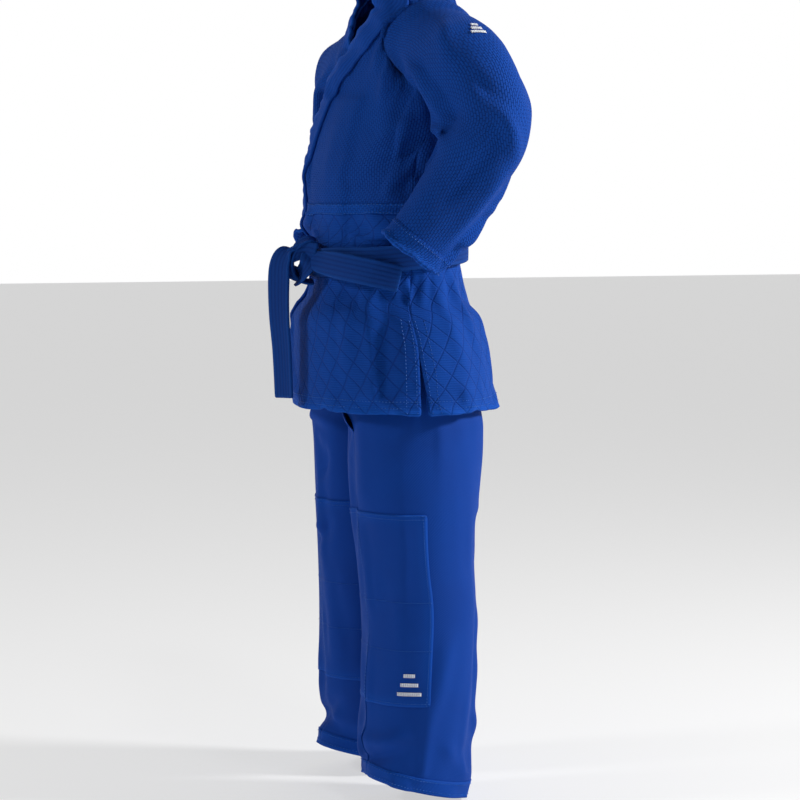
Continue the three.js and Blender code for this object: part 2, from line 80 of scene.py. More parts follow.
# ---- The cut of the uniform, in millimetres: the same tables as the frame's ------------------------
# Jacket: height, half width, half depth, centre in Y.
JACKET = [
    (-228, 222, 165, 28), (-170, 215, 161, 25), (-110, 204, 155, 20), (-70, 188, 147, 15),
    (-50, 171, 132, 14), (-30, 163, 122, 15), (0, 161, 117, 17), (50, 161, 117, 17),
    (76, 164, 119, 16), (94, 170, 124, 16), (121, 174, 126, 16), (205, 178, 125, 25),
    (296, 180, 119, 45), (360, 180, 109, 53), (410, 168, 94, 57), (440, 148, 82, 58),
    (465, 120, 72, 58), (490, 93, 64, 57), (505, 78, 60, 56),
]
HIPS = [
    (-178, 184, 138, 25), (-150, 174, 135, 24), (-110, 160, 129, 20), (-60, 154, 121, 13),
    (-25, 150, 110, 14), (10, 150, 104, 18), (45, 151, 104, 18),
]
# Trouser legs: height, centre in X, centre in Y, half width, half depth.
LEFT_LEG = [
    (-900, 128, 6, 84, 90), (-814, 125, 12, 88, 96), (-729, 122, 21, 92, 99),
    (-644, 119, 28, 94, 101), (-559, 115, 32, 94, 102), (-491, 112, 27, 92, 103),
    (-389, 108, 24, 97, 115), (-304, 104, 27, 98, 121), (-236, 103, 25, 97, 122),
    (-185, 102, 23, 96, 120),
]
RIGHT_LEG = [
    (-900, 128, 20, 84, 98), (-814, 125, 43, 86, 94), (-729, 122, 38, 90, 97),
    (-644, 119, 34, 93, 100), (-559, 115, 31, 94, 102), (-491, 112, 28, 92, 103),
    (-389, 108, 30, 97, 112), (-304, 104, 31, 98, 118), (-236, 103, 28, 97, 120),
    (-185, 102, 25, 96, 118),
]
# Free edge of each front: height, angle from the front centre line. The left front lies on top.
LEFT_EDGE = [
    (-228, -42), (0, -46), (60, -42), (121, -38), (175, -35), (205, -31), (296, -18), (383, 2),
    (445, 26), (496, 62), (505, 68),
]
RIGHT_EDGE = [
    (-228, 20), (0, 24), (60, 24), (121, 22), (175, 20), (205, 17), (296, 7), (383, -9),
    (445, -30), (496, -62), (505, -68),
]
# Sleeve centre line: x, y, z, radius across, radius fore and aft.
SHOULDER_Y, SHOULDER_Z = 46, 375
ARMHOLE_RADIUS = 80
SLEEVE = [
    (182, 46, 375, 74, 74), (238, 50, 345, 74, 76), (284, 64, 285, 78, 79),
    (299, 66, 225, 74, 75), (272, 30, 150, 70, 76), (248, -10, 86, 62, 70), (230, -46, 36, 54, 62),
]
WRAP_LIFT = 7.6  # the left front stands this far outside the right front
SIDE_SEAM_ANGLE = 77
VENT_TOP_Z, WAIST_SEAM_Z, HEM_Z, NECK_Z = -80, 112, -228, 503
CROTCH_Z, LEG_HEM_Z = -160, -876
BELT_LOW, BELT_TILT = 29, 16
BELT_THICKNESS, BELT_CLEARANCE, BELT_TURN = 3.6, 3.6, 5.2


# ---- Small helpers ---------------------------------------------------------------------------------
def smooth(x, low, high):
    t = np.clip((np.asarray(x, float) - low) / (high - low), 0, 1)
    return t * t * (3 - 2 * t)


def read(rows, x):
    """The other columns of a table at the first column's value x, on a smooth curve."""
    table = np.array(rows, float)
    keys, values = table[:, 0], table[:, 1:]
    x = np.asarray(x, float)
    i = np.clip(np.searchsorted(keys, x, side="right") - 1, 0, len(keys) - 2)
    slope = np.gradient(values, keys, axis=0)
    span = (keys[i + 1] - keys[i])[..., None]
    t = np.clip((x - keys[i])[..., None] / span, 0, 1)
    t2, t3 = t * t, t * t * t
    a, b = values[i], values[i + 1]
    return (
        (2 * t3 - 3 * t2 + 1) * a + (t3 - 2 * t2 + t) * slope[i] * span
        + (3 * t2 - 2 * t3) * b + (t3 - t2) * slope[i + 1] * span
    )


def spline(points, count):
    """count points evenly spaced along a smooth curve through the given ones."""
    p = np.array(points, float)
    step = np.linalg.norm(np.diff(p, axis=0), axis=1) ** 0.5
    keys = np.concatenate([[0], np.cumsum(step)])
    fine = read(np.column_stack([keys, p]), np.linspace(0, keys[-1], 40 * len(p)))
    run = np.concatenate([[0], np.cumsum(np.linalg.norm(np.diff(fine, axis=0), axis=1))])
    at = np.linspace(0, run[-1], count)
    return np.column_stack([np.interp(at, run, fine[:, k]) for k in range(p.shape[1])])


def unit(v):
    return v / np.maximum(np.linalg.norm(v, axis=-1, keepdims=True), 1e-9)


def normals(p):
    """Outward normals of a grid of points: columns run to the wearer's left round the front."""
    across, up = np.gradient(p, axis=1), np.gradient(p, axis=0)
    if np.allclose(p[:, 0], p[:, -1], atol=1e-6):
        across[:, 0] = across[:, -1] = p[:, 1] - p[:, -2]
    return unit(np.cross(across, up))


def lengths(p):
    """Across and up measures of a grid in metres, as the flat cloth would have them."""
    across = np.linalg.norm(np.diff(p, axis=1), axis=2)
    u = np.concatenate([np.zeros((len(p), 1)), np.cumsum(across, axis=1)], axis=1)
    up = np.linalg.norm(np.diff(p, axis=0), axis=2).mean(axis=1)
    v = np.concatenate([[0], np.cumsum(up)])[:, None] + np.zeros_like(u)
    return np.stack([u - u.mean(axis=1, keepdims=True), v], axis=2)


def area_of(p, keep=None):
    a, b = p[1:, 1:] - p[:-1, :-1], p[1:, :-1] - p[:-1, 1:]
    size = np.linalg.norm(np.cross(a, b), axis=2) / 2
    return float(size.sum() if keep is None else size[keep].sum())


def ripple(p, seed, size):
    """A smooth random field over points, about -1 to 1, with features of the given size in metres."""
    rng = np.random.default_rng(seed)
    total = np.zeros(p.shape[:-1])
    for _ in range(14):
        way = unit(rng.normal(size=3)) * rng.uniform(0.6, 1.5) * 2 * math.pi / size
        total += np.sin(p @ way + rng.uniform(0, 2 * math.pi))
    return total / 3.2


def crease(p, points, width, height):
    """Raises (or sinks) the cloth along a line through the given points, fading out at its ends."""
    line = spline(np.array(points) * MM, 40)
    n = normals(p)
    gap = p[:, :, None, :] - line[None, None]
    far = np.linalg.norm(gap, axis=3)
    k = far.argmin(axis=2)
    near = np.take_along_axis(far, k[..., None], axis=2)[..., 0]
    ends = np.sin(np.pi * np.clip((k + 1.5) / 42, 0, 1)) ** 0.6
    shape = np.exp(-((near / (width * MM)) ** 2))
    return p + n * (shape * ends * height * MM)[..., None]


# ---- Cloth simulation ------------------------------------------------------------------------------
def welded(p):
    """The different points of a grid, and the index of each grid point among them."""
    key = np.round(p.reshape(-1, 3) / 2e-6).astype(np.int64)
    _, first, index = np.unique(key, axis=0, return_index=True, return_inverse=True)
    return p.reshape(-1, 3)[first], index.reshape(p.shape[:2])


def quads(index, keep=None):
    corners = np.stack([index[:-1, :-1], index[:-1, 1:], index[1:, 1:], index[1:, :-1]], axis=2)
    return corners.reshape(-1, 4) if keep is None else corners[keep]


def settle(p, held, low, high, seed, keep=None, grow=0.05, bend=2.0, frames=22, gravity=0.5):
    """Lets a grid of cloth, cut a little larger than its form, buckle and sag into folds. held is how
    firmly each point keeps its place; low and high limit its move along its normal, in millimetres."""
    n = normals(p)
    start = p + n * (ripple(p, seed, 0.09) * 0.004 * (1 - held))[..., None]
    points, index = welded(p)
    points[index] = start
    me = bpy.data.meshes.new("settling_cloth")
    me.from_pydata(points.tolist(), [], quads(index, keep).tolist())
    ob = bpy.data.objects.new("settling_cloth", me)
    scene = bpy.context.scene
    scene.collection.objects.link(ob)
    group = ob.vertex_groups.new(name="held")
    weight = np.zeros(len(points))
    weight[index] = held
    for level in np.unique(np.round(weight, 2)):
        chosen = np.nonzero(np.abs(weight - level) < 0.0051)[0]
        group.add(chosen.tolist(), float(level), "REPLACE")
    scene.frame_set(1)
    cloth = ob.modifiers.new("cloth", "CLOTH")
    s = cloth.settings
    s.quality, s.mass, s.air_damping = 5, 0.35, 2.0
    s.tension_stiffness = s.compression_stiffness = 18
    s.shear_stiffness, s.bending_stiffness = 6, bend
    s.vertex_group_mass, s.pin_stiffness, s.shrink_min = "held", 1.0, -grow
    s.effector_weights.gravity = gravity
    cloth.collision_settings.use_collision = False
    cloth.point_cache.frame_end = frames + 1
    for at in range(1, frames + 1):
        scene.frame_set(at)
    mesh = ob.evaluated_get(bpy.context.evaluated_depsgraph_get()).to_mesh()
    moved = np.empty(len(points) * 3)
    mesh.vertices.foreach_get("co", moved)
    bpy.data.objects.remove(ob)
    bpy.data.meshes.remove(me)
    scene.frame_set(1)
    step = moved.reshape(-1, 3)[index] - p
    out = (step * n).sum(axis=2)
    along = step - n * out[..., None]
    reach = np.linalg.norm(along, axis=2, keepdims=True)
    along *= np.minimum(1, 0.008 / np.maximum(reach, 1e-9))
    soft = np.where(out > 0, high * MM * np.tanh(out / (high * MM)), low * MM * np.tanh(out / (low * MM)))
    return p + along + n * soft[..., None]


# ---- Materials -------------------------------------------------------------------------------------
def linear(colour):
    """Linear light values of an sRGB colour given as hex text."""
    parts = [int(colour[k : k + 2], 16) / 255 for k in (1, 3, 5)]
    return tuple(c / 12.92 if c <= 0.04045 else ((c + 0.055) / 1.055) ** 2.4 for c in parts) + (1.0,)


def node(tree, kind, settings=None, links=None):
    """Adds a node with its settings and links; a link is a value, or another node's output."""
    made = tree.nodes.new("ShaderNode" + kind)
    for key, value in (settings or {}).items():
        setattr(made, key, value)
    for key, value in (links or {}).items():
        if isinstance(value, bpy.types.NodeSocket):
            tree.links.new(value, made.inputs[key])
        else:
            made.inputs[key].default_value = value
    return made


def math_node(tree, operation, *values):
    return node(tree, "Math", {"operation": operation}, dict(enumerate(values))).outputs[0]


def new_material(name):
    m = bpy.data.materials.new(name)
    m.use_nodes = True
    m.node_tree.nodes.clear()
    return m, m.node_tree


def weave_height(t, kind, u, v):
    """How high the threads stand, from 0 to 1, over the flat cloth's measures u and v in metres."""
    if kind == "rice":
        # Rice-grain stitch: ribs 4.8 mm apart run up the cloth, each a chain of 8 mm grains set half a
        # grain off its neighbours.
        place = node(t, "CombineXYZ", {}, {0: v, 1: u, 2: 0.0}).outputs[0]
        grain = node(t, "TexBrick", {"offset": 0.5}, {
            "Vector": place, "Scale": 1.0, "Mortar Size": 0.0011, "Mortar Smooth": 1.0,
            "Brick Width": 0.008, "Row Height": 0.0048,
        })
        return math_node(t, "SUBTRACT", 1.0, grain.outputs["Fac"])
    if kind == "diamond":
        # Lozenges 38 mm wide and 44 mm tall, over ribs 4 mm apart that run across the cloth.
        a = math_node(t, "ADD", math_node(t, "DIVIDE", u, 0.038), math_node(t, "DIVIDE", v, 0.044))
        b = math_node(t, "SUBTRACT", math_node(t, "DIVIDE", u, 0.038), math_node(t, "DIVIDE", v, 0.044))
        da = math_node(t, "PINGPONG", a, 0.5)
        db = math_node(t, "PINGPONG", b, 0.5)
        edge = math_node(t, "MINIMUM", da, db)
        groove = math_node(t, "MINIMUM", math_node(t, "MULTIPLY", edge, 14.0), 1.0)
        rib = math_node(t, "PINGPONG", v, 0.002)
        rib = math_node(t, "MULTIPLY", rib, 500.0)
        inside = math_node(t, "MULTIPLY_ADD", rib, 0.45, 0.55)
        return math_node(t, "MULTIPLY", inside, groove)
    if kind == "quilt":
        # Rows of stitching 7.5 mm apart run the length of the band and sink it into soft ridges.
        row = math_node(t, "PINGPONG", u, 0.00375)
        row = math_node(t, "MULTIPLY", row, 1 / 0.00375)
        ridge = math_node(t, "POWER", row, 0.45)
        dash = math_node(t, "PINGPONG", v, 0.0018)
        dash = math_node(t, "MULTIPLY", dash, 1 / 0.0018)
        return math_node(t, "MULTIPLY_ADD", dash, 0.12, math_node(t, "MULTIPLY", ridge, 0.88))
    # Drill: twill lines, drawn 2.6 mm apart so that they can be seen.
    slant = math_node(t, "ADD", u, math_node(t, "MULTIPLY", v, 0.6))
    line = math_node(t, "PINGPONG", slant, 0.0013)
    return math_node(t, "MULTIPLY", line, 1 / 0.0013)


def cloth_material(name, base, light, kind, depth, roughness, sheen):
    """Woven cotton: colour that varies with dye and wear, painted shade in the weave's hollows and a painted
    highlight on its raised threads, thread relief, and a soft edge of sheen.
    """
    m, t = new_material(name)
    place = node(t, "UVMap", {"uv_map": "cloth"}).outputs[0]
    split = node(t, "SeparateXYZ", {}, {0: place})
    height = weave_height(t, kind, split.outputs[0], split.outputs[1])
    solid = node(t, "TexCoord").outputs["Object"]
    blotch = node(t, "TexNoise", {}, {"Vector": solid, "Scale": 9.0, "Detail": 5.0, "Roughness": 0.6})
    fuzz = node(t, "TexNoise", {}, {"Vector": solid, "Scale": 420.0, "Detail": 2.0})
    worn = node(t, "Attribute", {"attribute_name": "worn"}).outputs["Fac"]
    # Painted shade and highlight: the colour follows the thread relief, darker in the weave's hollows,
    # grooves and stitch rows and lighter on its raised threads, and the fine fuzz is likewise lighter where
    # its bump stands higher; the blotches are the dye's random tone and worn is real wear at the edges
    painted_shade_and_wear = math_node(t, "MULTIPLY_ADD", height, 0.42, -0.02)
    painted_shade_and_wear = math_node(t, "MULTIPLY_ADD", blotch.outputs["Fac"], 0.34, painted_shade_and_wear)
    painted_shade_and_wear = math_node(t, "MULTIPLY_ADD", fuzz.outputs["Fac"], 0.1, painted_shade_and_wear)
    painted_shade_and_wear = math_node(t, "MULTIPLY_ADD", worn, 0.40, painted_shade_and_wear)
    # a Mix node's colours are its inputs 6 and 7
    colour = node(t, "Mix", {"data_type": "RGBA", "clamp_factor": True},
                  {0: painted_shade_and_wear, 6: linear(base), 7: linear(light)})
    rough = math_node(t, "MULTIPLY_ADD", blotch.outputs["Fac"], 0.12, roughness - 0.06)
    relief = math_node(t, "MULTIPLY_ADD", fuzz.outputs["Fac"], 0.25, height)
    bump = node(t, "Bump", {}, {"Strength": 0.8, "Distance": depth * MM, "Height": relief})
    shader = node(t, "BsdfPrincipled", {}, {
        "Base Color": colour.outputs[2], "Roughness": rough, "Normal": bump.outputs[0],
        "IOR": 1.47, "Sheen Weight": sheen, "Sheen Roughness": 0.4,
        "Sheen Tint": linear("#2f6fe8"), "Specular IOR Level": 0.14,
    })
    node(t, "OutputMaterial", {}, {"Surface": shader.outputs[0]})
    return m


def thread_material(name, base, light, roughness):
    """Stitched thread: satin strands side by side, with a painted highlight that makes them slightly lighter
    on their tops.
    """
    m, t = new_material(name)
    solid = node(t, "TexCoord").outputs["Object"]
    strand = node(t, "TexWave", {"bands_direction": "DIAGONAL"}, {
        "Vector": solid, "Scale": 260.0, "Distortion": 1.5, "Detail": 1.0,
    })
    # painted highlight: the strand colour follows the strands' bump, lighter where they stand highest
    colour = node(t, "Mix", {"data_type": "RGBA"},
                  {0: strand.outputs["Fac"], 6: linear(base), 7: linear(light)})
    bump = node(t, "Bump", {}, {"Strength": 0.4, "Distance": 0.0003, "Height": strand.outputs["Fac"]})
    shader = node(t, "BsdfPrincipled", {}, {
        "Base Color": colour.outputs[2], "Roughness": roughness, "Normal": bump.outputs[0], "IOR": 1.5,
    })
    node(t, "OutputMaterial", {}, {"Surface": shader.outputs[0]})
    return m


MATERIALS = {}


def make_materials():
    c = bpy.context.scene.uniform_colours
    hexes = {k: "#" + "".join(f"{round(v * 255):02x}" for v in getattr(c, k)) for k in (
        "jacket", "jacket_light", "trousers", "trousers_light", "belt", "belt_light", "embroidery")}
    MATERIALS["jacket_weave"] = cloth_material(
        "rice_grain_cotton_woven", hexes["jacket"], hexes["jacket_light"], "rice", 1.5, 0.85, 0.1)
    MATERIALS["skirt_weave"] = cloth_material(
        "diamond_cotton_woven", hexes["jacket"], hexes["jacket_light"], "diamond", 1.3, 0.85, 0.1)
    MATERIALS["trouser_drill"] = cloth_material(
        "cotton_drill_twill", hexes["trousers"], hexes["trousers_light"], "drill", 0.25, 0.72, 0.08)
    MATERIALS["belt_cotton"] = cloth_material(
        "belt_cotton_quilted", hexes["belt"], hexes["belt_light"], "quilt", 1.0, 0.8, 0.08)
    MATERIALS["lapel_cotton"] = cloth_material(
        "lapel_cotton_quilted", hexes["jacket"], hexes["jacket_light"], "quilt", 1.1, 0.82, 0.1)
    # the second colour of each thread is the painted highlight on the tops of its strands
    MATERIALS["blue_thread"] = thread_material("blue_thread_stitched", hexes["trousers"], "#3b82e0", 0.6)
    MATERIALS["embroidery_thread"] = thread_material(
        "white_satin_thread_embroidered", hexes["embroidery"], "#ffffff", 0.45)


# ---- Pieces ----------------------------------------------------------------------------------------
# The slot of each material that shares another's.
SLOTS = {"lapel_cotton": "jacket_weave", "blue_thread": "jacket_weave"}
BLENDS = {
    "left_flap": ("jacket", "left_flap", (0, 0, -0.078), (0, 0, -0.15)),
    "right_flap": ("jacket", "right_flap", (0, 0, -0.078), (0, 0, -0.15)),
    "back_flap": ("jacket", "back_flap", (0, 0, -0.078), (0, 0, -0.15)),
    "left_shin": ("jacket", "left_shin", (0, 0, -0.33), (0, 0, -0.46)),
    "right_shin": ("jacket", "right_shin", (0, 0, -0.33), (0, 0, -0.46)),
    "left_sleeve": ("jacket", "left_sleeve", (0.092, 0, -0.034), (0.145, 0, -0.0535)),
    "right_sleeve": ("jacket", "right_sleeve", (-0.092, 0, -0.034), (-0.145, 0, -0.0535)),
    "front_belt_end": ("jacket", "front_belt_end", (0, -0.165, 0.014), (0, -0.18, -0.025)),
    "side_belt_end": ("jacket", "side_belt_end", (0.006, -0.148, 0.0), (0.042, -0.148, 0.0)),
}


def move_with(ob, how):
    if how in BLENDS:
        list(BLENDS[how])
        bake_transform(ob)
    else:
        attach(ob, how)


def edge_wear(p, ends=(1, 1, 1, 1), size=0.011):
    """Wear from 0 to 1 towards the low, high, first and last edges of a grid."""
    u = np.linalg.norm(np.diff(p, axis=1), axis=2)
    u = np.concatenate([np.zeros((len(p), 1)), np.cumsum(u, axis=1)], axis=1)
    v = np.linalg.norm(np.diff(p, axis=0), axis=2)
    v = np.concatenate([np.zeros((1, p.shape[1])), np.cumsum(v, axis=0)], axis=0)
    worn = np.zeros(p.shape[:2])
    for use, far in zip(ends, (v, v[-1:] - v, u, u[:, -1:] - u)):
        if use:
            worn = np.maximum(worn, np.exp(-((far / size) ** 1.5)))
    return worn


def piece(name, p, material, thickness, how, nodes=(), keep=None,
          uv=None, worn=None, offset=-1.0, turned=False):
    """Its flat size is measured on this grid."""
    points, index = welded(p)
    faces = quads(index, keep)
    flat = lengths(p) if uv is None else uv
    if turned:
        flat = flat[..., ::-1]
    corner_uv = np.stack([flat[:-1, :-1], flat[:-1, 1:], flat[1:, 1:], flat[1:, :-1]], axis=2)
    corner_uv = corner_uv.reshape(-1, 4, 2) if keep is None else corner_uv[keep]
    used = np.unique(faces)
    renumber = np.zeros(len(points), int)
    renumber[used] = np.arange(len(used))
    me = bpy.data.meshes.new(name)
    me.from_pydata(points[used].tolist(), [], renumber[faces].tolist())
    layer = me.uv_layers.new(name="cloth")
    layer.uv.foreach_set("vector", corner_uv.astype(np.float32).ravel())
    wear = np.zeros(len(points))
    wear[index] = edge_wear(p) if worn is None else worn
    attribute = me.attributes.new("worn", "FLOAT", "POINT")
    attribute.data.foreach_set("value", wear[used].astype(np.float32))
    me.polygons.foreach_set("use_smooth", [True] * len(me.polygons))
    me.materials.append(MATERIALS[material])
    ob = bpy.data.objects.new(name, me)
    bpy.context.scene.collection.objects.link(ob)
    sub = ob.modifiers.new("rounding", "SUBSURF")
    sub.levels = sub.render_levels = 1
    wall = ob.modifiers.new("thickness", "SOLIDIFY")
    wall.thickness, wall.offset = thickness * MM, offset
    move_with(ob, how)
    if nodes:
        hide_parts(*nodes)
    SLOTS.get(material, material)
    size = lengths(p)
    tall = float(max(np.linalg.norm(np.diff(p, axis=0), axis=2).sum(axis=0).max(), size[..., 1].max()))
    area_of(p, keep)
    return ob


STITCH_FACES = [
    (0, 1, 5), (1, 4, 5), (1, 2, 4), (2, 3, 4), (3, 5, 4), (3, 0, 5), (3, 2, 1, 0),
]


def stitches(name, runs, how, material="blue_thread", long=3.4, gap=1.9, wide=0.9, high=0.7):
    """Rows of stitches: each run is a line of points on the cloth with its outward directions."""
    points, faces = [], []
    for line, out in runs:
        step = np.linalg.norm(np.diff(line, axis=0), axis=1)
        run = np.concatenate([[0], np.cumsum(step)])
        count = int(run[-1] / ((long + gap) * MM))
        for k in range(count):
            s = (k + 0.5) * run[-1] / count
            ends = [np.array([np.interp(s + d, run, line[:, a]) for a in range(3)])
                    for d in (-long * MM / 2, long * MM / 2)]
            n = unit(np.array([np.interp(s, run, out[:, a]) for a in range(3)]))
            along = unit(ends[1] - ends[0])
            side = np.cross(n, along) * wide * MM / 2
            mid = (ends[0] + ends[1]) / 2
            base = len(points)
            low = n * -0.3 * MM
            points += [ends[0] + low, mid + side + low, ends[1] + low, mid - side + low,
                       mid + n * high * MM + along * 0.5 * MM, mid + n * high * MM - along * 0.5 * MM]
            faces += [tuple(base + corner for corner in face) for face in STITCH_FACES]
    me = bpy.data.meshes.new(name)
    me.from_pydata([list(q) for q in points], [], faces)
    me.materials.append(MATERIALS[material])
    ob = bpy.data.objects.new(name, me)
    bpy.context.scene.collection.objects.link(ob)
    move_with(ob, how)
    return ob


# ---- Jacket ----------------------------------------------------------------------------------------
LEFT_COLS, BACK_COLS, RIGHT_COLS = 40, 64, 34
GRIDS = {}


def side_angle(z):
    return SIDE_SEAM_ANGLE + (90 - SIDE_SEAM_ANGLE) * smooth(z, 200, 300)


def jacket_points(angle, z, out):
    size = read(JACKET, z)
    a = np.radians(angle)
    return np.stack([
        (size[..., 0] + out) * np.sin(a), size[..., 2] - (size[..., 1] + out) * np.cos(a), z,
    ], axis=-1) * MM


def wrap_lift(angle):
    side = (np.asarray(angle, float) + 180) % 360 - 180
    return WRAP_LIFT * (1 - smooth(side, 42, 74)) * smooth(side, -86, -64)


def jacket_rows():
    up = np.concatenate([
        np.linspace(HEM_Z, VENT_TOP_Z, 17)[:-1], np.linspace(VENT_TOP_Z, WAIST_SEAM_Z, 22)[:-1],
        np.linspace(WAIST_SEAM_Z, 400, 32)[:-1], 400 + (NECK_Z - 400) * np.linspace(0, 1, 19) ** 0.82,
    ])
    return up, 16, 37


def make_jacket_grid():
    z, vent_row, seam_row = jacket_rows()
    vent = 2.6 * smooth(-z, -VENT_TOP_Z, -HEM_Z)
    left, right = read(LEFT_EDGE, z)[:, 0], read(RIGHT_EDGE, z)[:, 0]
    side = side_angle(z)

    def fan(a, b, cells):
        return a[:, None] + (b - a)[:, None] * np.linspace(0, 1, cells + 1)[None]

    angle = np.concatenate([
        fan(left, side - vent, LEFT_COLS), fan(side + vent, 360 - side - vent, BACK_COLS),
        fan(360 - side + vent, 360 + right, RIGHT_COLS),
    ], axis=1)
    height = z[:, None] + np.zeros_like(angle)
    out = np.zeros_like(angle)
    out[:, : LEFT_COLS + 1] = wrap_lift(angle[:, : LEFT_COLS + 1])
    p = jacket_points(angle, height, out)
    keep = np.ones((p.shape[0] - 1, p.shape[1] - 1), bool)
    keep[:, LEFT_COLS] = keep[:, LEFT_COLS + 1 + BACK_COLS] = False
    # the armholes
    far = np.hypot(p[..., 1] - SHOULDER_Y * MM, p[..., 2] - SHOULDER_Z * MM) / (ARMHOLE_RADIUS * MM)
    inside = (far < 1.0) & (np.abs(p[..., 0]) > 0.06)
    gone = inside[:-1, :-1] & inside[1:, :-1] & inside[:-1, 1:] & inside[1:, 1:]
    keep &= ~gone
    touch = np.zeros(p.shape[:2], bool)
    for a, b in ((0, 0), (1, 0), (0, 1), (1, 1)):
        touch[a : a + keep.shape[0], b : b + keep.shape[1]] |= keep
    rim = inside & touch
    push = 0.995 / np.maximum(far, 0.2)
    for k, middle in ((1, SHOULDER_Y * MM), (2, SHOULDER_Z * MM)):
        p[..., k] = np.where(rim, middle + (p[..., k] - middle) * push, p[..., k])
    size = read(JACKET, p[..., 2] / MM)
    reach = (p[..., 1] / MM - size[..., 2]) / size[..., 1]
    flank = size[..., 0] * np.sqrt(np.clip(1 - reach**2, 0, 1)) * MM * np.sign(p[..., 0])
    p[..., 0] = np.where(rim, flank, p[..., 0])
    return p, angle, height, keep, rim | inside, vent_row, seam_row


def make_jacket_cloth():
    p, angle, z, keep, rim, vent_row, seam_row = make_jacket_grid()
    side = (angle + 180) % 360 - 180
    belt = BELT_LOW - BELT_TILT * np.cos(np.radians(angle))
    at_belt = np.exp(-((np.abs(z - belt) / 34) ** 4))
    cols = np.arange(p.shape[1])[None] + np.zeros_like(z)
    seams = (np.abs(cols - LEFT_COLS - 0.5) < 1) | (np.abs(cols - LEFT_COLS - BACK_COLS - 1.5) < 1)
    held = np.full(z.shape, 0.012)
    held = np.maximum(held, at_belt)
    held = np.maximum(held, smooth(z, 470, 500))
    held[rim] = 1.0
    held[seams & (z >= VENT_TOP_Z)] = np.maximum(held, 0.35)[seams & (z >= VENT_TOP_Z)]
    lapels = (cols < 5) | (cols > p.shape[1] - 6)
    held[lapels] = np.maximum(held, 0.5)[lapels]
    held = np.maximum(held, 0.22 * (z < HEM_Z + 12))
    held = np.clip(held, 0, 1)
    under = (cols > LEFT_COLS + BACK_COLS + 2) & (side > -50) & (z < 300)
    over = (cols <= LEFT_COLS) & (side < 26) & (z < 300)
    high = np.where(under, 1.0, 13.0) * (1 - 0.93 * at_belt)
    low = np.where(over, 1.5, 9.0) * (1 - 0.93 * at_belt)
    low = np.where(z < -40, np.minimum(low, 6.0), low)
    p = settle(p, held, low, high, 11, keep=keep, grow=0.09, bend=0.8, gravity=0.6)
    # folds that the arm and the belt pull into the cloth, on the wearer's left
    front = [
        ([(96, -38, 462), (112, -36, 420), (128, -30, 376), (150, -26, 330), (166, -10, 296)], 15, -17),
        ([(66, -46, 450), (84, -56, 400), (104, -52, 350), (128, -52, 296), (140, -54, 240)], 16, 8),
        ([(172, 30, 262), (150, -50, 232), (110, -92, 196), (70, -108, 168)], 13, 9),
        ([(176, 20, 214), (160, -44, 186), (130, -82, 158), (104, -96, 130)], 14, -11),
        ([(40, -104, 380), (44, -108, 300), (40, -116, 220), (36, -122, 140)], 22, 5),
        ([(150, -50, 112), (120, -80, 92), (80, -100, 76)], 10, 6),
        ([(120, -70, 104), (80, -104, 84), (40, -116, 66)], 8, -5),
        ([(-20, -120, 96), (-60, -110, 84), (-90, -90, 70)], 14, 9),
        ([(160, -60, -60), (176, -66, -110), (182, -70, -170), (180, -74, -215)], 16, -9),
        ([(110, -106, -56), (116, -116, -110), (118, -122, -180)], 18, 6),
        ([(188, 44, -44), (206, 60, -110), (214, 80, -180), (214, 88, -222)], 15, 9),
        ([(170, 76, -44), (182, 100, -100), (186, 122, -160), (180, 134, -216)], 15, -8),
        ([(100, 130, -44), (110, 158, -120), (112, 170, -215)], 20, 8),
        ([(-90, 132, -44), (-104, 160, -120), (-108, 172, -215)], 20, 8),
        ([(0, 140, -44), (4, 166, -120), (6, 184, -215)], 18, -7),
        ([(-180, 40, -50), (-206, 50, -120), (-216, 60, -215)], 16, 8),
        ([(120, 120, 290), (90, 140, 220), (40, 146, 150), (0, 142, 100)], 18, 8),
        ([(-120, 120, 290), (-90, 140, 220), (-40, 146, 150), (0, 142, 100)], 18, 8),
        ([(130, 100, 330), (120, 118, 250), (110, 122, 150), (100, 118, 84)], 14, -8),
        ([(-130, 100, 330), (-120, 118, 250), (-110, 122, 150), (-100, 118, 84)], 14, -8),
        ([(-120, -40, 400), (-140, -30, 340), (-160, -14, 296)], 14, -12),
    ]
    for line, width, height in front:
        p = crease(p, line, width, height * 1.35)
    # cloth bloused over the top of the belt
    blouse = np.exp(-(((z - belt - 44) / 15) ** 2)) * (0.6 + 0.4 * np.cos(np.radians(angle * 7)))
    p = p + normals(p) * (blouse * 7 * MM)[..., None]
    # above the vents the front and back stay sewn along the side seams
    n = normals(p)
    for a in (LEFT_COLS, LEFT_COLS + BACK_COLS + 1):
        for grid in (p, n):
            grid[vent_row:, a] = grid[vent_row:, a + 1] = (grid[vent_row:, a] + grid[vent_row:, a + 1]) / 2
    GRIDS["jacket"] = dict(p=p, angle=angle, z=z, keep=keep, vent=vent_row, seam=seam_row, n=unit(n),
                           uv=lengths(p))
    return p


def part_of_jacket(rows, cols, out=0.0):
    g = GRIDS["jacket"]
    take = (slice(rows[0], rows[1] + 1), slice(cols[0], cols[1] + 1))
    return g["p"][take] + g["n"][take] * out * MM, g["uv"][take]


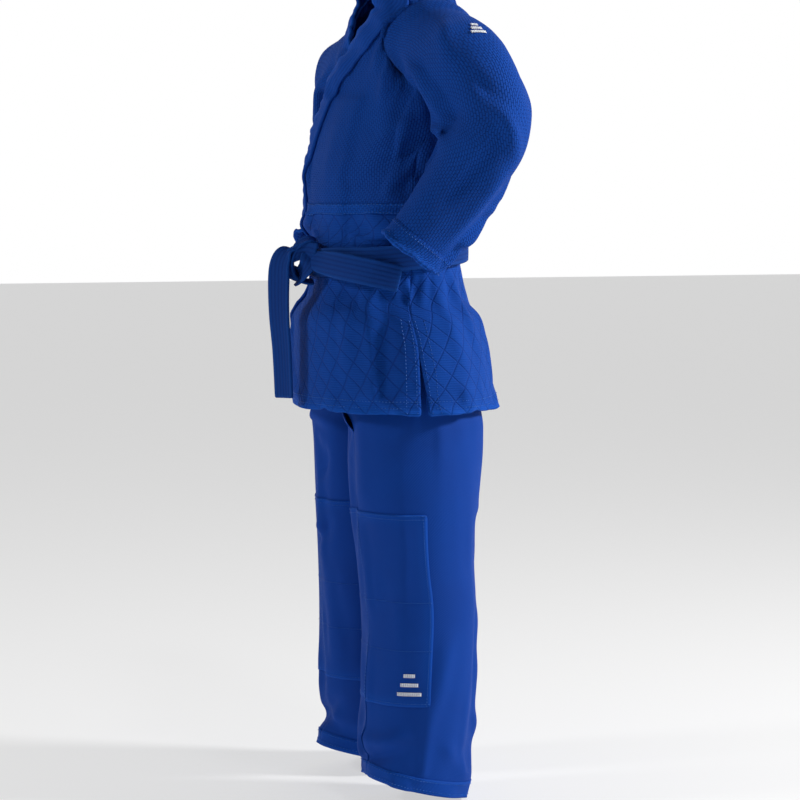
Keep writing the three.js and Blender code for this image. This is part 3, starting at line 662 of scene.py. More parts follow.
def make_jacket():
    make_jacket_cloth()
    g = GRIDS["jacket"]
    top = g["p"].shape[0] - 1
    l1, b0 = LEFT_COLS, LEFT_COLS + 1
    b1, r0 = b0 + BACK_COLS, b0 + BACK_COLS + 1
    r1 = g["p"].shape[1] - 1
    panels = {
        "left_front": ((0, l1), ["left_front_panel", "left_shoulder_yoke"]),
        "back": ((b0, b1), ["back_panel", "left_underarm_gusset", "right_underarm_gusset"]),
        "right_front": ((r0, r1), ["right_front_panel", "right_shoulder_yoke"]),
    }
    for name, (cols, nodes) in panels.items():
        p, uv = part_of_jacket((g["seam"], top), cols)
        keep = g["keep"][g["seam"] : top, cols[0] : cols[1]]
        piece("jacket_" + name, p, "jacket_weave", 3.4, "jacket", nodes, keep=keep, uv=uv,
              worn=edge_wear(p, (0, 0, 0, 0)))
    skirts = {
        "left": ((0, l1), "left_flap", ["left_waist_panel", "left_skirt_flap"]),
        "back": ((b0, b1), "back_flap", ["back_waist_panel", "back_skirt_flap"]),
        "right": ((r0, r1), "right_flap", ["right_waist_panel", "right_skirt_flap"]),
    }
    for name, (cols, body, nodes) in skirts.items():
        p, uv = part_of_jacket((0, g["seam"]), cols)
        piece("skirt_" + name, p, "skirt_weave", 3.2, body, nodes, uv=uv,
              worn=edge_wear(p, (1, 0, 0, 0)))
    tape_rows = (g["seam"] - 1, g["seam"] + 1)
    for name, cols in (("left", (4, l1)), ("back", (b0, b1)), ("right", (r0, r1 - 5))):
        p, uv = part_of_jacket(tape_rows, cols, 1.5)
        piece("waist_tape_" + name, p, "jacket_weave", 1.6, "jacket", [name + "_waist_tape"],
              uv=uv)
    # doubled cloth down each vent, inside the flap
    vents = [
        ("left_vent_facing", (l1 - 3, l1), "left_flap"),
        ("back_left_vent_facing", (b0, b0 + 3), "back_flap"),
        ("back_right_vent_facing", (b1 - 3, b1), "back_flap"),
        ("right_vent_facing", (r0, r0 + 3), "right_flap"),
    ]
    for name, cols, body in vents:
        p, uv = part_of_jacket((0, g["vent"]), cols, -3.6)
        piece(name + "_cloth", p, "skirt_weave", 1.6, body, [name], uv=uv)


def edge_lines(which):
    """A function that gives the line at any distance in metres in from the free edge of a front, with
    the edge's outward directions and heights."""
    g = GRIDS["jacket"]
    p, n = g["p"], g["n"]
    if which == "right":
        p, n = p[:, ::-1], n[:, ::-1]
    run = np.concatenate([np.zeros((len(p), 1)),
                          np.cumsum(np.linalg.norm(np.diff(p, axis=1), axis=2), axis=1)], axis=1)
    # the lapel's width is measured square to its slanting edge
    up = unit(np.gradient(p[:, 0], axis=0))
    across = unit(p[:, 2] - p[:, 0])
    square = np.sqrt(np.clip(1 - (up * across).sum(axis=1) ** 2, 0.25, 1))

    def at(distance):
        d = distance / square
        rows = []
        for j in range(len(p)):
            if d[j] >= 0:
                rows.append([np.interp(d[j], run[j], p[j, :, k]) for k in range(3)])
            else:
                rows.append(p[j, 0] + across[j] * d[j])
        return np.array(rows)

    return at, n[:, 1], g["z"][:, 0]


def make_lapels():
    width = bpy.context.scene.uniform_sizes.lapel_width
    for which, nodes in (("left", ["left_lapel", "left_skirt_lapel"]),
                         ("right", ["right_lapel", "right_skirt_lapel"])):
        at, n, z = edge_lines(which)
        rise = smooth(z, 420, 500)
        t = np.linspace(0, 1, 9)
        lines = []
        for share in t:
            d = -0.004 + (width + 0.004) * share - width * 0.9 * rise
            lines.append(at(d))
        p = np.stack(lines, axis=1)
        # towards the neck the free edge stands up to meet the collar
        up = (1 - t)[None, :, None] * rise[:, None, None] * np.array([0, 0, 0.020])
        if which == "left":
            out = np.full(len(z), 6.2)
        else:
            out = -5.6 + 11.6 * smooth(z, 362, 408)
        bow = 1.2 * np.sin(math.pi * t)[None]
        p = p + up + n[:, None] * ((out[:, None] + bow) * MM)[..., None]
        if which == "right":
            p = p[:, ::-1]
        piece(which + "_lapel_band", p, "lapel_cotton", 5.4, which + "_flap", nodes,
              worn=edge_wear(p, (1, 0, 1, 0) if which == "left" else (1, 0, 0, 1)))
        GRIDS[which + "_lapel"] = p


def make_collar():
    left, right = GRIDS["left_lapel"][-1], GRIDS["right_lapel"][-1][::-1]
    size = read(JACKET, NECK_Z)
    count = 44
    angles = np.linspace(64, 296, count)
    t = np.linspace(0, 1, 9)
    rows = []
    for k, a in enumerate(angles):
        edge = min(k, count - 1 - k) / (count - 1) * 2
        turn = np.radians(a)
        base = np.array([
            (size[0] + 5) * math.sin(turn), size[2] - (size[1] + 5) * math.cos(turn), NECK_Z - 7,
        ])
        lean = 9 + 3 * math.cos(turn)
        line = []
        for s in t:
            high = 40 * s
            pull = lean * s - 3 * math.sin(math.pi * s)
            line.append([base[0] - pull * math.sin(turn), base[1] + pull * math.cos(turn), base[2] + high])
        line = np.array(line) * MM
        near = left[::-1] if k < count / 2 else right[::-1]
        mix = 1 - smooth(edge, 0.0, 0.34)
        rows.append(line * (1 - mix) + near * mix)
    p = np.array(rows).transpose(1, 0, 2)
    piece("collar_band", p, "lapel_cotton", 5.4, "jacket", ["back_collar"], turned=True,
          worn=edge_wear(p, (0, 1, 0, 0)))


# ---- Sleeves ---------------------------------------------------------------------------------------
def make_sleeve_grid():
    rows, cols = 50, 56
    turn = np.linspace(0, 2 * math.pi, cols + 1)
    line = spline([s[:3] for s in SLEEVE], rows)
    sizes = spline([s[3:] for s in SLEEVE], rows)
    tangent = unit(np.gradient(line, axis=0))
    rear = unit(np.array([0, 1.0, 0]) - tangent * tangent[:, 1:2])
    upward = np.cross(tangent, rear)
    tube = (line[:, None] + rear[:, None] * (sizes[:, 1:2, None] * np.cos(turn)[None, :, None])
            + upward[:, None] * (sizes[:, 0:1, None] * np.sin(turn)[None, :, None]))
    # the head of the sleeve starts on the jacket's side, round the armhole
    y = SHOULDER_Y + (ARMHOLE_RADIUS + 1) * np.cos(turn)
    z = SHOULDER_Z + (ARMHOLE_RADIUS + 1) * np.sin(turn)
    size = read(JACKET, z)
    x = (size[:, 0] + 2.0) * np.sqrt(np.clip(1 - ((y - size[:, 2]) / (size[:, 1] + 2)) ** 2, 0, 1))
    ring = np.stack([x, y, z], axis=1)
    head = []
    first = 6
    for k in range(8):
        s = k / 8
        bulge = 7 * math.sin(math.pi * s)
        q = ring * (1 - s) + tube[first] * s
        q = q + unit(q - line[first] * s - np.array([0, SHOULDER_Y, SHOULDER_Z]) * (1 - s)) * bulge * 0.6
        head.append(q)
    return np.concatenate([np.array(head), tube[first:]]) * MM


SLEEVE_FOLDS = [
    ([(168, -30, 352), (206, -26, 330), (236, -14, 300), (246, 4, 268)], 13, 9),
    ([(190, -32, 318), (216, -22, 292), (232, -8, 262)], 10, -16),
    ([(226, -16, 262), (250, -10, 236), (276, -6, 214), (300, 6, 196)], 12, 8),
    ([(214, -4, 250), (228, -12, 226), (236, -26, 190), (238, -44, 150)], 12, 8),
    ([(250, -22, 246), (282, -8, 250), (318, 18, 262)], 12, -7),
    ([(352, 30, 300), (366, 56, 262), (354, 82, 214), (332, 92, 176)], 12, 10),
    ([(366, 50, 240), (356, 40, 196), (330, 14, 150), (300, -20, 108)], 15, -7),
    ([(340, 80, 190), (322, 60, 140), (296, 26, 92), (276, -4, 50)], 14, 7),
    ([(330, 10, 330), (346, 34, 300), (352, 64, 268)], 12, -7),
    ([(230, 10, 420), (262, 4, 380), (290, 6, 330)], 16, 6),
    ([(262, 120, 330), (290, 126, 290), (318, 128, 250)], 14, 7),
    ([(258, 126, 290), (276, 128, 240), (296, 116, 196)], 12, -8),
    ([(214, 90, 250), (232, 70, 200), (228, 40, 150)], 12, 8),
    ([(300, -44, 150), (290, -60, 110), (276, -76, 70)], 12, 6),
]


def make_sleeves():
    p = make_sleeve_grid()
    rows = p.shape[0]
    share = np.linspace(0, 1, rows)[:, None] + np.zeros(p.shape[:2])
    held = np.full(p.shape[:2], 0.015)
    held[0:2] = 1.0
    held = np.maximum(held, 0.5 * smooth(share, 0.955, 1.0))
    inner = smooth(-p[..., 0], -0.226, -0.196)
    low = 10.0 + 0 * held
    high = 15.0 - 10.0 * inner
    p = settle(p, held, low, high, 5, grow=0.11, bend=0.7, gravity=1.0)
    for line, width, height in SLEEVE_FOLDS:
        p = crease(p, line, width, height * 1.5)
    for name, sign in (("left", 1), ("right", -1)):
        q = p if sign > 0 else (p * np.array([-1, 1, 1]))[:, ::-1]
        if sign < 0:
            # this forearm rests a little further back on the hip than the other one
            q = q + np.array([0, 0.034, 0]) * smooth(share, 0.5, 1.0)[..., None]
        uv = lengths(q)
        piece(name + "_sleeve_cloth", q, "jacket_weave", 3.2, name + "_sleeve",
              [name + "_sleeve_over", name + "_sleeve_under"], uv=uv,
              worn=edge_wear(q, (0, 0, 0, 0)))
        n = normals(q)
        low_row = rows - 5
        band = q[low_row:] + n[low_row:] * 1.3 * MM
        piece(name + "_cuff", band, "jacket_weave", 5.8, name + "_sleeve", [name + "_cuff_band"],
              uv=uv[low_row:], worn=edge_wear(band, (0, 1, 0, 0)))
        GRIDS[name + "_sleeve"] = dict(p=q, n=n, uv=uv)


# ---- Trousers --------------------------------------------------------------------------------------
LEG_COLS = 64


def make_leg_grid(table, mirrored):
    z = np.concatenate([
        np.linspace(LEG_HEM_Z, -723, 18)[:-1], np.linspace(-723, -398, 38)[:-1],
        np.linspace(-398, CROTCH_Z, 28)[:-1], np.linspace(CROTCH_Z, 44, 20),
    ])
    crotch = 17 + 37 + 27
    turn = np.linspace(0, 360, LEG_COLS + 1)
    a = np.radians(turn)[None] + np.zeros((len(z), 1))
    leg = read(table, np.clip(z, -900, -185))
    drop = 1 - smooth(z, LEG_HEM_Z, LEG_HEM_Z + 130)
    height = z[:, None] + 24 * np.cos(a) * drop[:, None]
    leg_p = np.stack([
        leg[:, 0:1] + leg[:, 2:3] * np.sin(a), leg[:, 1:2] - leg[:, 3:4] * np.cos(a), height,
    ], axis=2)
    hip = read(HIPS, np.clip(z, -178, 45))
    outer = turn <= 180
    back_to_front = hip[:, 2:3] + hip[:, 1:2] * np.cos(np.radians(turn - 180))[None]
    hip_p = np.stack([
        np.where(outer[None], hip[:, 0:1] * np.sin(a), 0.4),
        np.where(outer[None], hip[:, 2:3] - hip[:, 1:2] * np.cos(a), back_to_front), height,
    ], axis=2)
    mix = smooth(z, -262, CROTCH_Z)[:, None, None]
    p = (leg_p * (1 - mix) + hip_p * mix) * MM
    p[..., 0] = np.maximum(p[..., 0], 0.4 * MM)
    keep = np.ones((len(z) - 1, LEG_COLS), bool)
    keep[crotch:, LEG_COLS // 2 :] = False
    if mirrored:
        p = (p * np.array([-1, 1, 1]))[:, ::-1]
        keep = keep[:, ::-1]
        turn = turn[::-1]
    return p, keep, z


LEG_FOLDS = {
    "left": [
        ([(206, 20, -240), (214, 50, -330), (212, 66, -420), (206, 70, -520)], 13, 7),
        ([(190, 96, -240), (196, 108, -320), (186, 116, -400)], 14, -8),
        ([(150, 140, -250), (150, 146, -340), (146, 140, -420)], 16, 7),
        ([(60, -90, -250), (64, -86, -330), (70, -78, -420)], 14, -6),
        ([(120, -98, -230), (124, -92, -320), (124, -84, -400)], 16, 5),
        ([(80, -72, -800), (120, -84, -826), (160, -70, -822), (190, -40, -806)], 10, -9),
        ([(84, -76, -770), (124, -86, -792), (166, -66, -792), (196, -30, -778)], 11, 7),
        ([(196, 30, -800), (208, 60, -830), (190, 90, -856)], 12, 6),
        ([(150, 110, -760), (120, 116, -800), (90, 108, -830)], 13, 7),
        ([(206, 40, -620), (210, 20, -700), (206, 0, -770)], 16, 6),
        ([(40, 40, -300), (34, 44, -400), (36, 40, -520)], 14, 6),
        ([(160, 126, -500), (156, 124, -600), (150, 112, -700)], 18, -6),
        ([(60, 110, -420), (100, 138, -440), (150, 130, -430)], 12, -8),
        ([(60, 112, -400), (100, 140, -414), (150, 134, -406)], 10, 6),
    ],
    "right": [
        ([(-60, -86, -300), (-66, -80, -340), (-90, -82, -372)], 10, -7),
        ([(-60, -78, -440), (-80, -72, -470), (-110, -74, -486)], 10, -7),
        ([(-60, -76, -424), (-84, -78, -452), (-116, -80, -468)], 9, 6),
        ([(-110, -78, -540), (-112, -70, -640), (-114, -60, -740)], 15, -5),
        ([(-80, -58, -800), (-120, -62, -832), (-160, -46, -840)], 12, 8),
        ([(-76, -54, -770), (-116, -62, -800), (-160, -46, -806)], 11, -8),
        ([(-206, 20, -240), (-212, 50, -340), (-208, 60, -460)], 14, 7),
        ([(-60, 110, -420), (-100, 138, -440), (-150, 130, -430)], 12, -8),
        ([(-150, 116, -760), (-120, 130, -800), (-90, 120, -840)], 13, 7),
        ([(-160, 126, -500), (-156, 124, -600), (-150, 118, -700)], 18, -6),
    ],
}


def make_trousers():
    seat = {"left": ["trouser_front_seat"], "right": ["trouser_back_seat", "crotch_gusset"]}
    for name, table in (("left", LEFT_LEG), ("right", RIGHT_LEG)):
        p, keep, z = make_leg_grid(table, name == "right")
        height = z[:, None] + np.zeros(p.shape[:2])
        held = np.maximum(0.015, smooth(height, -200, -150))
        held = np.maximum(held, 0.25 * (height < LEG_HEM_Z + 6))
        high = 10.0 - 8.0 * smooth(height, -300, -190)
        low = 8.0 - 2.0 * smooth(height, -300, -190)
        p = settle(p, held, low, high, 21 if name == "left" else 22, keep=keep, grow=0.07, bend=0.5,
                   gravity=1.0)
        for line, width, size in LEG_FOLDS[name]:
            p = crease(p, line, width, size * 1.3)
        uv, n = lengths(p), normals(p)
        nodes = [f"{name}_{part}" for part in ("thigh_front", "thigh_back", "shin_front", "shin_back")]
        piece(f"{name}_trouser_leg", p, "trouser_drill", 1.6, name + "_shin", nodes + seat[name],
              keep=keep, uv=uv, worn=edge_wear(p, (1, 0, 0, 0)))
        # knee patch over the front of the leg, and the turned-up hem
        half = LEG_COLS // 2
        roll = (np.arange(LEG_COLS) + half) % LEG_COLS
        rolled, rolled_n = p[:, roll], n[:, roll]
        wide = int(84 / 360 * LEG_COLS)
        cols = slice(half - wide, half + wide + 1)
        low, top = 17, 17 + 37
        patch = rolled[low : top + 1, cols] + rolled_n[low : top + 1, cols] * 1.5 * MM
        piece(f"{name}_knee_patch_cloth", patch, "trouser_drill", 1.3, name + "_shin", [f"{name}_knee_patch"])
        hem = p[:4] + n[:4] * 1.2 * MM
        piece(f"{name}_hem", hem, "trouser_drill", 3.6, name + "_shin", [f"{name}_hem_band"],
              uv=uv[:4])
        GRIDS[name + "_leg"] = dict(p=p, n=n, uv=uv, keep=keep, patch=patch, z=z)
    band = []
    a = np.radians(np.linspace(0, 360, 73))
    for z in np.linspace(8, 43, 5):
        size = read(HIPS, z)
        band.append(np.stack([(size[0] + 3.4) * np.sin(a), size[2] - (size[1] + 3.4) * np.cos(a),
                              z + 0 * a], axis=1) * MM)
    piece("trouser_waistband_cloth", np.array(band), "trouser_drill", 3.0, "jacket", ["trouser_waistband"])


# ---- Belt ------------------------------------------------------------------------------------------
def on_belt(angle, up, out):
    size = read(JACKET, 0)
    far = BELT_CLEARANCE + 1.5 * wrap_lift(angle) + out
    a = np.radians(angle)
    return np.stack([(size[0] + far) * np.sin(a), size[2] - (size[1] + far) * np.cos(a),
                     BELT_LOW - BELT_TILT * np.cos(a) + up], axis=-1)


def ribbon(name, points, across, width, how, nodes=(), cup=1.5, pinch=None):
    """A length of belt along a line of points in millimetres; across gives its width direction at each."""
    count = max(8, int(np.linalg.norm(np.diff(np.array(points), axis=0), axis=1).sum() / 6))
    both = spline(np.column_stack([points, np.array(across, float) * 30]), count)
    line, side = both[:, :3], both[:, 3:]
    tangent = unit(np.gradient(line, axis=0))
    side = unit(side - tangent * (side * tangent).sum(axis=1, keepdims=True))
    out = np.cross(side, tangent)
    t = np.linspace(-1, 1, 9)
    wide = width / 2 * (np.ones(count) if pinch is None else np.interp(np.linspace(0, 1, count), *pinch))
    p = (line[:, None] + side[:, None] * (wide[:, None, None] * t[None, :, None])
         - out[:, None] * (cup * t**2)[None, :, None])
    p = p * MM
    return piece(name, p, "belt_cotton", BELT_THICKNESS, how, nodes, offset=0.0,
                 worn=edge_wear(p, (1, 1, 1, 1), 0.004))


def make_belt():
    width = bpy.context.scene.uniform_sizes.belt_width / MM
    turns = (("inner", 0.0, ["belt_inner_turn"]), ("outer", BELT_TURN, ["belt_outer_turn"]))
    angle = np.linspace(0, 360, 121)
    for name, out, nodes in turns:
        rows = []
        for share in np.linspace(-0.5, 0.5, 9):
            a = np.radians(angle)
            sway = (2.2 if name == "outer" else -1.6) * np.sin(a * 2 + 0.6) + 1.2 * np.sin(a * 5)
            bow = out + BELT_THICKNESS + 1.0 * np.cos(share * math.pi) + 0.5 * np.sin(a * 9 + share * 4)
            rows.append(on_belt(angle, share * width + sway, bow))
        p = np.array(rows) * MM
        piece(f"belt_{name}_turn_cloth", p, "belt_cotton", BELT_THICKNESS, "jacket", nodes,
              turned=True, worn=edge_wear(p, (1, 1, 0, 0), 0.004))
    front = on_belt(np.array(0.0), 0, 2 * BELT_TURN)
    x0, y0, z0 = -8.0, float(front[1]), float(front[2])

    def at(*rows):
        return [(x0 + x, y0 + y, z0 + z) for x, y, z in rows]

    # the strand that passes up behind the turns and comes down over them
    ribbon("belt_knot_wrap", at((10, 6, 34), (9, -10, 38), (4, -24, 28), (-2, -31, 8), (-6, -29, -12),
                                (-6, -16, -27), (-4, 4, -30)),
           [(0.95, -0.2, -0.25)] * 3 + [(0.9, -0.3, -0.4)] * 2 + [(0.95, -0.2, -0.2)] * 2,
           width * 0.78, "jacket", ["belt_knot"], cup=4, pinch=([0, 0.5, 1], [1, 0.72, 1]))
    # the strand that crosses it from the upper right to the lower left
    ribbon("belt_knot_cross", at((34, -4, 16), (22, -16, 20), (8, -34, 15), (-10, -42, 6), (-22, -38, -6),
                                 (-20, -24, -16), (-6, -14, -20)),
           [(0.1, -0.1, 1)] * 2 + [(0.35, -0.1, 0.95)] * 2 + [(0.7, 0.2, 0.7)] * 2 + [(0.8, 0, 0.5)],
           width * 0.74, "jacket", cup=4, pinch=([0, 0.4, 0.7, 1], [1, 0.72, 0.8, 0.9]))
    # the strand that ties it off low on the wearer's left
    ribbon("belt_knot_tuck", at((-20, -6, -20), (-8, -18, -26), (10, -22, -20), (24, -16, -6), (22, -8, 14)),
           [(0.4, 0.3, 0.9)] * 2 + [(-0.2, 0.1, 1)] * 2 + [(-0.3, 0, 1)],
           width * 0.72, "jacket", cup=3)
    c, s = math.cos, math.sin
    turn = [math.radians(a) for a in (38, 36, 34, 30, 26, 22, 20)]
    ribbon("belt_front_end_cloth",
           at((2, -26, 20), (-4, -43, 19), (-7, -53, 2), (-6, -56, -36), (-4, -56, -90), (-2, -52, -150),
              (0, -49, -232)),
           [(c(a), s(a), 0) for a in turn], width, "front_belt_end", ["belt_front_end"], cup=2,
           pinch=([0, 0.12, 0.25, 1], [0.7, 0.85, 1, 1]))
    share = np.linspace(0, 1, 7)
    side = on_belt(4 + 64 * share, 5 - 40 * share**1.5, 2 * BELT_TURN + 9 + 5 * np.sin(share * 3))
    ribbon("belt_side_end_cloth", side.tolist(),
           [(0.12, -0.25, -0.95)] * 2 + [(0, -0.1, -1)] * 3 + [(0, 0.12, -1)] * 2, width, "side_belt_end",
           ["belt_side_end"], cup=2, pinch=([0, 0.15, 0.4, 1], [0.6, 0.8, 1, 1]))


# ---- Seams -----------------------------------------------------------------------------------------
def row_line(p, n, row, lift, cols=None):
    """A line of stitches along a row of a grid; row may fall between two rows."""
    low = int(row)
    t = row - low
    high = min(low + 1, len(p) - 1)
    cols = cols or slice(None)
    return (p[low, cols] * (1 - t) + p[high, cols] * t + n[low, cols] * lift * MM, n[low, cols])


def col_line(p, n, col, lift, rows=None):
    low = int(col)
    t = col - low
    high = min(low + 1, p.shape[1] - 1)
    rows = rows or slice(None)
    return (p[rows, low] * (1 - t) + p[rows, high] * t + n[rows, low] * lift * MM, n[rows, low])


def make_seams():
    g = GRIDS["jacket"]
    p, n, seam, vent = g["p"], g["n"], g["seam"], g["vent"]
    l1, b0 = LEFT_COLS, LEFT_COLS + 1
    b1, r0 = b0 + BACK_COLS, b0 + BACK_COLS + 1
    parts = {"left": (slice(5, l1 + 1), "left_flap"), "back": (slice(b0, b1 + 1), "back_flap"),
             "right": (slice(r0, p.shape[1] - 5), "right_flap")}
    for name, (cols, body) in parts.items():
        # two rows above the hem, and one down each side of a vent
        runs = [row_line(p, n, 1.1, 0.3, cols), row_line(p, n, 2.3, 0.3, cols)]
        edges = {"left": (l1 - 0.7, l1 - 2.6), "back": (b0 + 0.7, b0 + 2.4, b1 - 0.7, b1 - 2.4),
                 "right": (r0 + 0.7, r0 + 2.6)}[name]
        runs += [col_line(p, n, c, 0.3, slice(0, vent + 2)) for c in edges]
        stitches(f"skirt_{name}_stitches", runs, body, long=4.2, gap=2.0, wide=1.3)
        # two rows through the waist seam's tape
        runs = [row_line(p, n, r, 2.1, cols) for r in (seam - 0.8, seam + 0.8)]
        stitches(f"waist_{name}_stitches", runs, "jacket", long=4.2, gap=2.0, wide=1.3)
    for name in ("left", "right"):
        s = GRIDS[name + "_sleeve"]
        rows = len(s["p"])
        runs = [row_line(s["p"], s["n"], r, 1.8) for r in (rows - 4.4, rows - 1.8)]
        stitches(name + "_cuff_stitches", runs, name + "_sleeve", long=4.2, gap=2.0, wide=1.3)
        leg = GRIDS[name + "_leg"]
        runs = [row_line(leg["p"], leg["n"], r, 1.7) for r in (0.7, 2.5)]
        patch = leg["patch"]
        out = normals(patch)
        top = len(patch) - 1
        runs += [row_line(patch, out, r, 0.3) for r in (0.6, top * 0.29, top * 0.54, top - 1.0, top - 0.3)]
        last = patch.shape[1] - 1
        runs += [col_line(patch, out, c, 0.3) for c in (0.5, last * 0.5, last - 0.6)]
        stitches(name + "_leg_stitches", runs, name + "_shin", long=3.6, gap=2.2, wide=1.1)


# ---- Generic embroidered marks ---------------------------------------------------------------------
def make_marks():
    """Three bars of satin stitch, on the sleeve and on the shin."""
    for name, grid, lift, how, cad in (
        ("sleeve_mark_thread", "left_sleeve", 2.0, "left_sleeve", "sleeve_mark"),
        ("shin_mark_thread", "left_leg", 3.2, "left_shin", "shin_mark"),
    ):
        g = GRIDS[grid]
        low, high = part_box(cad)
        centre = np.array((low + high) / 2)
        far = np.linalg.norm(g["p"] - centre, axis=2)
        j, i = np.unravel_index(far.argmin(), far.shape)
        n = g["n"][j, i]
        right = unit(np.cross(np.array([0, 0, 1.0]), n))
        up = np.cross(n, right)
        runs = []
        base = g["p"][j, i] + n * (lift * MM)
        size = float(high.z - low.z) / 2
        for k in range(3):
            for line in range(4):
                t = np.linspace(-1, 1, 8)[:, None]
                offset = (k - 1) * size * 0.62 + line * 1.5 * MM
                width = size * (0.85 - 0.22 * k)
                q = base + right * (t * width) + up * offset
                runs.append((snap(q, g, n, lift), np.repeat(n[None], 8, 0)))
        ob = stitches(name, runs, how, "embroidery_thread", long=4.2, gap=-1.2, wide=2.2, high=0.8)
        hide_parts(cad)


def snap(q, g, n, proud):
    """Lays points on a grid's surface, a little proud of it."""
    out = []
    flat = g["p"].reshape(-1, 3)
    for point in q:
        gap = flat - point
        side = gap - (gap @ n)[:, None] * n
        near = np.argsort((side**2).sum(axis=1) + 0.02 * (gap @ n) ** 2)[:4]
        w = 1 / (np.linalg.norm(side[near], axis=1) + 1e-4)
        lift = ((gap[near] @ n) * w).sum() / w.sum()
        out.append(point + n * (lift + proud * MM))
    return np.array(out)


# ---- Stage -----------------------------------------------------------------------------------------
def make_stage():
    scene = bpy.context.scene
    low = CAD_BOX[0][2] - 0.014
    me = bpy.data.meshes.new("floor")
    me.from_pydata([(-30, -30, low), (30, -30, low), (30, 30, low), (-30, 30, low)], [], [(0, 1, 2, 3)])
    m, t = new_material("floor_paper_pale")
    shader = node(t, "BsdfPrincipled", {}, {
        "Base Color": (0.4, 0.4, 0.4, 1), "Roughness": 0.9,
        "Emission Color": (1.0, 1.0, 1.0, 1.0), "Emission Strength": 0.55,
    })
    node(t, "OutputMaterial", {}, {"Surface": shader.outputs[0]})
    me.materials.append(m)
    floor = bpy.data.objects.new("floor", me)
    scene.collection.objects.link(floor)
    azimuth, pitch, pan = math.radians(67), math.radians(4.75), math.radians(0.53)
    look = azimuth - pan
    ahead = Vector((-math.sin(look) * math.cos(pitch), math.cos(look) * math.cos(pitch), -math.sin(pitch)))
    # a white studio wall behind the uniform, and a dimmer room in front of it
    world = bpy.data.worlds.new("studio")
    scene.world = world
    world.use_nodes = True
    t = world.node_tree
    t.nodes.clear()
    way = node(t, "TexCoord").outputs["Generated"]
    facing = node(t, "VectorMath", {"operation": "DOT_PRODUCT"}, {0: way, 1: tuple(ahead)}).outputs["Value"]
    strength = node(t, "MapRange", {"interpolation_type": "SMOOTHSTEP"}, {
        0: facing, 1: 0.2, 2: 0.9, 3: 0.04, 4: 1.0,
    }).outputs[0]
    sky = node(t, "Background", {}, {0: (1.0, 1.0, 1.0, 1.0), 1: strength})
    node(t, "OutputWorld", {}, {0: sky.outputs[0]})
    scene.view_settings.view_transform = "Standard"
    lamps = (
        ("soft_key", 150, 24, 3.6, 125, 0.6), ("soft_side", -10, 24, 3.6, 36, 0.6),
        ("soft_top", 96, 58, 3.4, 13, 0.5),
    )
    for name, around, elevation, distance, power, size in lamps:
        a, e = math.radians(around), math.radians(elevation)
        data = bpy.data.lights.new(name, "AREA")
        data.energy, data.shape, data.size = power, "DISK", size
        lamp = bpy.data.objects.new(name, data)
        back = Vector((math.sin(a) * math.cos(e), -math.cos(a) * math.cos(e), math.sin(e)))
        lamp.location = back * distance
        lamp.rotation_euler = (-back).to_track_quat("-Z", "Y").to_euler()
        scene.collection.objects.link(lamp)
    data = bpy.data.cameras.new("camera")
    data.lens, data.sensor_width = 98, 36
    data.clip_start, data.clip_end = 0.1, 60
    camera = bpy.data.objects.new("camera", data)
    camera.location = (3.8 * math.sin(azimuth), -3.8 * math.cos(azimuth), 0.088)
    camera.rotation_euler = ahead.to_track_quat("-Z", "Y").to_euler()
    scene.collection.objects.link(camera)
    scene.camera = camera


# ---- Add-on ----------------------------------------------------------------------------------------
def colour_property(name, text, value):
    rgb = tuple(int(value[k : k + 2], 16) / 255 for k in (1, 3, 5))
    return FloatVectorProperty(name=name, description=text, subtype="COLOR_GAMMA", size=3, min=0, max=1,
                               default=rgb)


class UniformSizes(bpy.types.PropertyGroup):
    belt_width: FloatProperty(name="Belt width", description="Width of the belt", default=0.045,
                              min=0.03, max=0.06, unit="LENGTH")
    lapel_width: FloatProperty(name="Lapel width", description="Width of the lapel and collar band",
                               default=0.045, min=0.03, max=0.06, unit="LENGTH")


class UniformColours(bpy.types.PropertyGroup):
    # The first colour of each pair is painted shade in the hollows, grooves and stitch rows of the cloth, and
    # the second is the painted highlight on its raised threads and ridges; the mix between them also carries
    # the dye's random tone and the real wear at the edges
    jacket: colour_property("Jacket", "Dye of the jacket in its hollows", "#072f7c")
    jacket_light: colour_property("Jacket, raised", "Dye of the jacket on its raised threads", "#0d50b4")
    trousers: colour_property("Trousers", "Dye of the trouser drill", "#053184")
    trousers_light: colour_property("Trousers, raised", "Dye of the drill on its raised threads", "#094cb0")
    belt: colour_property("Belt", "Dye of the belt in its stitch rows", "#07266a")
    belt_light: colour_property("Belt, raised", "Dye of the belt on its ridges", "#0d4494")
    embroidery: colour_property("Embroidery", "Thread of the marks", "#dfe6f2")


class UNIFORM_OT_materials(bpy.types.Operator):
    """Makes the cotton weaves, the belt cloth and the threads"""
    bl_idname = "uniform.materials"
    bl_label = "Materials"

    def execute(self, context):
        make_materials()
        return {"FINISHED"}


class UNIFORM_OT_jacket(bpy.types.Operator):
    """Makes the jacket's fronts, back and split skirt"""
    bl_idname = "uniform.jacket"
    bl_label = "Jacket"

    def execute(self, context):
        make_jacket()
        return {"FINISHED"}


class UNIFORM_OT_collar(bpy.types.Operator):
    """Makes the two lapels and the collar"""
    bl_idname = "uniform.collar"
    bl_label = "Lapels and collar"

    def execute(self, context):
        make_lapels()
        make_collar()
        return {"FINISHED"}


class UNIFORM_OT_sleeves(bpy.types.Operator):
    """Makes both sleeves and their cuffs"""
    bl_idname = "uniform.sleeves"
    bl_label = "Sleeves"

    def execute(self, context):
        make_sleeves()
        return {"FINISHED"}


class UNIFORM_OT_trousers(bpy.types.Operator):
    """Makes the trousers with their knee patches, hems and waistband"""
    bl_idname = "uniform.trousers"
    bl_label = "Trousers"

    def execute(self, context):
        make_trousers()
        return {"FINISHED"}


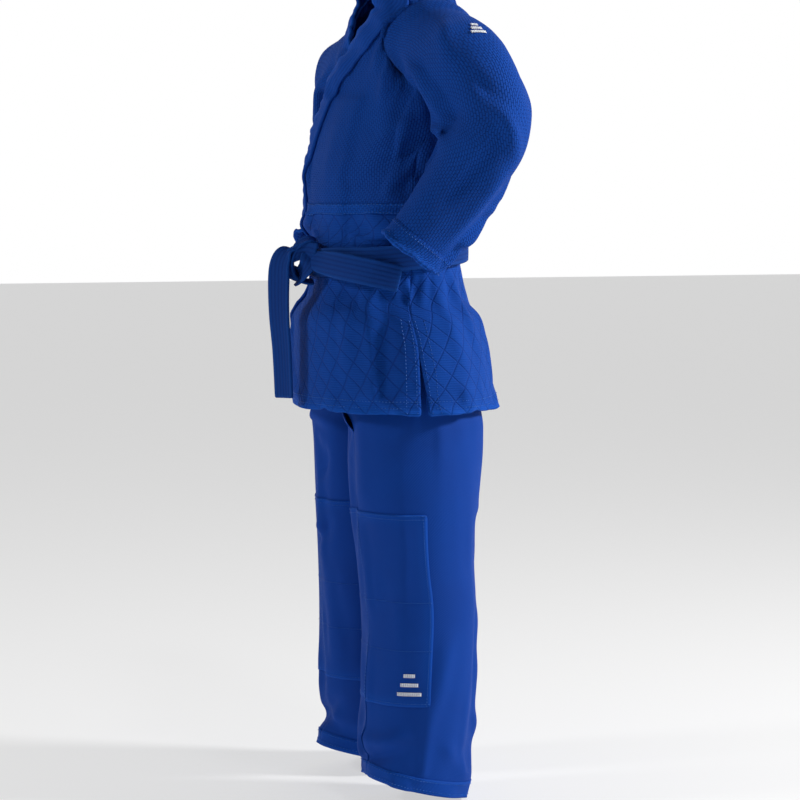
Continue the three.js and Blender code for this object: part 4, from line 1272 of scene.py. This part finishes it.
class UNIFORM_OT_belt(bpy.types.Operator):
    """Makes the belt's two turns, its knot and its ends"""
    bl_idname = "uniform.belt"
    bl_label = "Belt"

    def execute(self, context):
        make_belt()
        return {"FINISHED"}


class UNIFORM_OT_seams(bpy.types.Operator):
    """Makes the rows of stitches on the hems, vents, cuffs and patches"""
    bl_idname = "uniform.seams"
    bl_label = "Seams"

    def execute(self, context):
        make_seams()
        return {"FINISHED"}


class UNIFORM_OT_marks(bpy.types.Operator):
    """Makes the plain embroidered marks on the sleeve and the shin"""
    bl_idname = "uniform.marks"
    bl_label = "Embroidered marks"

    def execute(self, context):
        make_marks()
        return {"FINISHED"}


class UNIFORM_OT_stage(bpy.types.Operator):
    """Makes the floor, the lights and the camera"""
    bl_idname = "uniform.stage"
    bl_label = "Stage"

    def execute(self, context):
        make_stage()
        return {"FINISHED"}


OPERATORS = (
    UNIFORM_OT_materials, UNIFORM_OT_stage, UNIFORM_OT_jacket, UNIFORM_OT_collar, UNIFORM_OT_sleeves,
    UNIFORM_OT_trousers, UNIFORM_OT_belt, UNIFORM_OT_seams, UNIFORM_OT_marks,
)


class UNIFORM_PT_panel(bpy.types.Panel):
    bl_label = "Judo uniform"
    bl_idname = "UNIFORM_PT_panel"
    bl_space_type = "VIEW_3D"
    bl_region_type = "UI"
    bl_category = "Uniform"

    def draw(self, context):
        for group in (context.scene.uniform_sizes, context.scene.uniform_colours):
            for name in group.__annotations__:
                self.layout.prop(group, name)
        for operator in OPERATORS:
            self.layout.operator(operator.bl_idname)


CLASSES = (UniformSizes, UniformColours, *OPERATORS, UNIFORM_PT_panel)


def register():
    for made in CLASSES:
        bpy.utils.register_class(made)
    bpy.types.Scene.uniform_sizes = PointerProperty(type=UniformSizes)
    bpy.types.Scene.uniform_colours = PointerProperty(type=UniformColours)


def unregister():
    del bpy.types.Scene.uniform_colours, bpy.types.Scene.uniform_sizes
    for made in reversed(CLASSES):
        bpy.utils.unregister_class(made)


def main():
    register()
    for operator in OPERATORS:
        group, name = operator.bl_idname.split(".")
        getattr(getattr(bpy.ops, group), name)()


if __name__ == "__main__":
    main()
